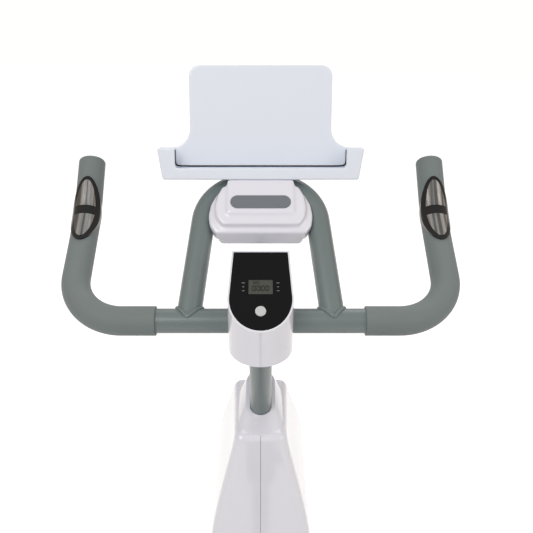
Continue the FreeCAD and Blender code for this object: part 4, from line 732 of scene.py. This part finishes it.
def flatBar(x, along, proud, wide, tall):  # one printed bar lying on the face
    bpy.ops.object.select_all(action="DESELECT")
    bpy.ops.mesh.primitive_cube_add(size=1, scale=(wide, tall, readout["thick"]))
    bar = bpy.context.object
    bpy.ops.object.transform_apply(location=False, rotation=False, scale=True)
    editing(bar)
    bpy.ops.mesh.select_all(action="SELECT")
    bpy.ops.mesh.bevel(offset=min(wide, tall) * 0.45, segments=1, affect="EDGES")
    done()
    lean = Matrix.Rotation(math.radians(readout["faceLean"]), 4, "X")
    bar.data.transform(Matrix.Translation(facePoint(x, along, proud)) @ lean)
    return bar


strokes = (  # a zero's six strokes: across, up, lies flat
    (0, 1, 1), (1, 0.5, 0), (1, -0.5, 0), (0, -1, 1), (-1, -0.5, 0), (-1, 0.5, 0),
)


def makeReadout():
    parts = []
    proud = readout["sunk"]
    for size, digits, shift, y in readout["rows"]:
        wide, tall, bar = readout["digitWide"] * size, readout["digitTall"] * size, readout["barThick"] * size
        for k in range(digits):
            x = (k - (digits - 1) / 2) * readout["gap"] * size + shift
            for across, up, flat in strokes:
                parts.append(flatBar(x + across * wide / 2, readout["lcdAt"] + y + up * tall / 2, proud,
                                     *((wide * 0.82, bar) if flat else (bar, tall * 0.42))))
    for up in (-1, 1):
        parts.append(flatBar(0.0, readout["lcdAt"] + readout["colonUp"] + up * readout["colonHalf"], proud,
                             readout["colonDot"], readout["colonDot"]))
    settle(joined(parts), "lcdDigits", "handlebar", "lcd_ink")
    marks = [flatBar(side * readout["dashAcross"], readout["lcdAt"] + row * readout["dashStep"], readout["dashProud"],
                     readout["dashWide"] * long, readout["dashTall"])
             for side in (-1, 1) for row, long in ((-1, 0.8), (0, 0.65), (1, 1.0))]
    settle(joined(marks), "faceMarks", "handlebar", "printed_grey")


makeReadout()
print("readout made")


studio = dict(floorSize=30.0, floorColour=(0.80, 0.80, 0.80), floorGlow=0.55, sky=0.60, horizon=0.42, warmSide=(1.0, 0.86, 0.74))


def buildStudio():
    bpy.ops.object.select_all(action="DESELECT")
    bpy.ops.mesh.primitive_plane_add(size=studio["floorSize"], location=(0, 0, cadBox[0].z - 0.0005))
    floor = bpy.context.object
    floor.name = "studioFloor"
    bpy.ops.object.transform_apply(location=True, rotation=True, scale=True)
    paper = bpy.data.materials.new("studioPaper")
    paper.use_nodes = True
    tree = paper.node_tree
    shader = tree.nodes["Principled BSDF"]
    shader.inputs["Roughness"].default_value = 0.9
    tone = place(tree, toneDrift, Color=studio["floorColour"], Drift=0.01, Patch_Size=1.5, Roughness=0.9)
    link(tree, tone.outputs["Color"], shader.inputs["Base Color"])
    seen = tree.nodes.new("ShaderNodeLightPath")
    direct = maths(tree, "ADD", seen.outputs["Is Camera Ray"], seen.outputs["Is Glossy Ray"], clamp=True)
    direct = maths(tree, "ADD", direct, seen.outputs["Is Transmission Ray"], clamp=True)
    link(tree, maths(tree, "MULTIPLY", direct, studio["floorGlow"]), shader.inputs["Emission Strength"])
    shader.inputs["Emission Color"].default_value = (1, 1, 1, 1)
    floor.data.materials.append(paper)

    world = bpy.data.worlds.new("studioRoom")
    scene.world = world
    world.use_nodes = True
    tree = world.node_tree
    ground = tree.nodes["Background"]
    split = tree.nodes.new("ShaderNodeSeparateXYZ")
    link(tree, tree.nodes.new("ShaderNodeTexCoord").outputs["Generated"], split.inputs[0])
    height = maths(tree, "MULTIPLY", maths(tree, "ADD", split.outputs["Z"], 0.1), 1.4, clamp=True)
    side = maths(tree, "ABSOLUTE", split.outputs["X"])
    tint = blendColour(tree, side, (1.0, 1.0, 1.0), studio["warmSide"])
    level = maths(tree, "ADD", studio["horizon"], maths(tree, "MULTIPLY", height, studio["sky"] - studio["horizon"]))
    seen = tree.nodes.new("ShaderNodeLightPath")
    link(tree, blendColour(tree, seen.outputs["Is Camera Ray"], tint, (1.0, 1.0, 1.0)), ground.inputs["Color"])
    link(tree, maths(tree, "MAXIMUM", level, seen.outputs["Is Camera Ray"]), ground.inputs["Strength"])


lamps = {  # place, watts, size across, colour
    "keyLamp": ((-1.3, -1.5, 3.2), 34, 1.8, (1.0, 0.99, 0.98)),
    "fillLamp": ((1.9, -0.9, 2.4), 14, 1.6, (1.0, 0.96, 0.92)),
    "rimLamp": ((0.3, 2.4, 2.9), 14, 1.6, (0.96, 0.98, 1.0)),
}


def hangLamps():
    aim = (cadBox[0] + cadBox[1]) / 2 + Vector((0, 0, 0.35))
    for name, (spot, watts, size, colour) in lamps.items():
        lamp = bpy.data.lights.new(name, "AREA")
        lamp.energy, lamp.size, lamp.color = watts, size, colour
        holder = bpy.data.objects.new(name, lamp)
        holder.location = spot
        holder.rotation_euler = (aim - Vector(spot)).to_track_quat("-Z", "Y").to_euler()
        scene.collection.objects.link(holder)


viewpoint = dict(place=(0.0, -0.607, 1.656), down=33.0, lens=50.1, shiftX=0.011)


def placeCamera():
    lens = bpy.data.cameras.new("riderView")
    lens.lens, lens.sensor_width, lens.shift_x = viewpoint["lens"], 36.0, viewpoint["shiftX"]
    camera = bpy.data.objects.new("riderView", lens)
    camera.location = viewpoint["place"]
    camera.rotation_euler = (math.radians(90 - viewpoint["down"]), 0, 0)
    scene.collection.objects.link(camera)
    scene.camera = camera


buildStudio()
hangLamps()
placeCamera()
scene.view_settings.view_transform = "Standard"
print("studio ready")
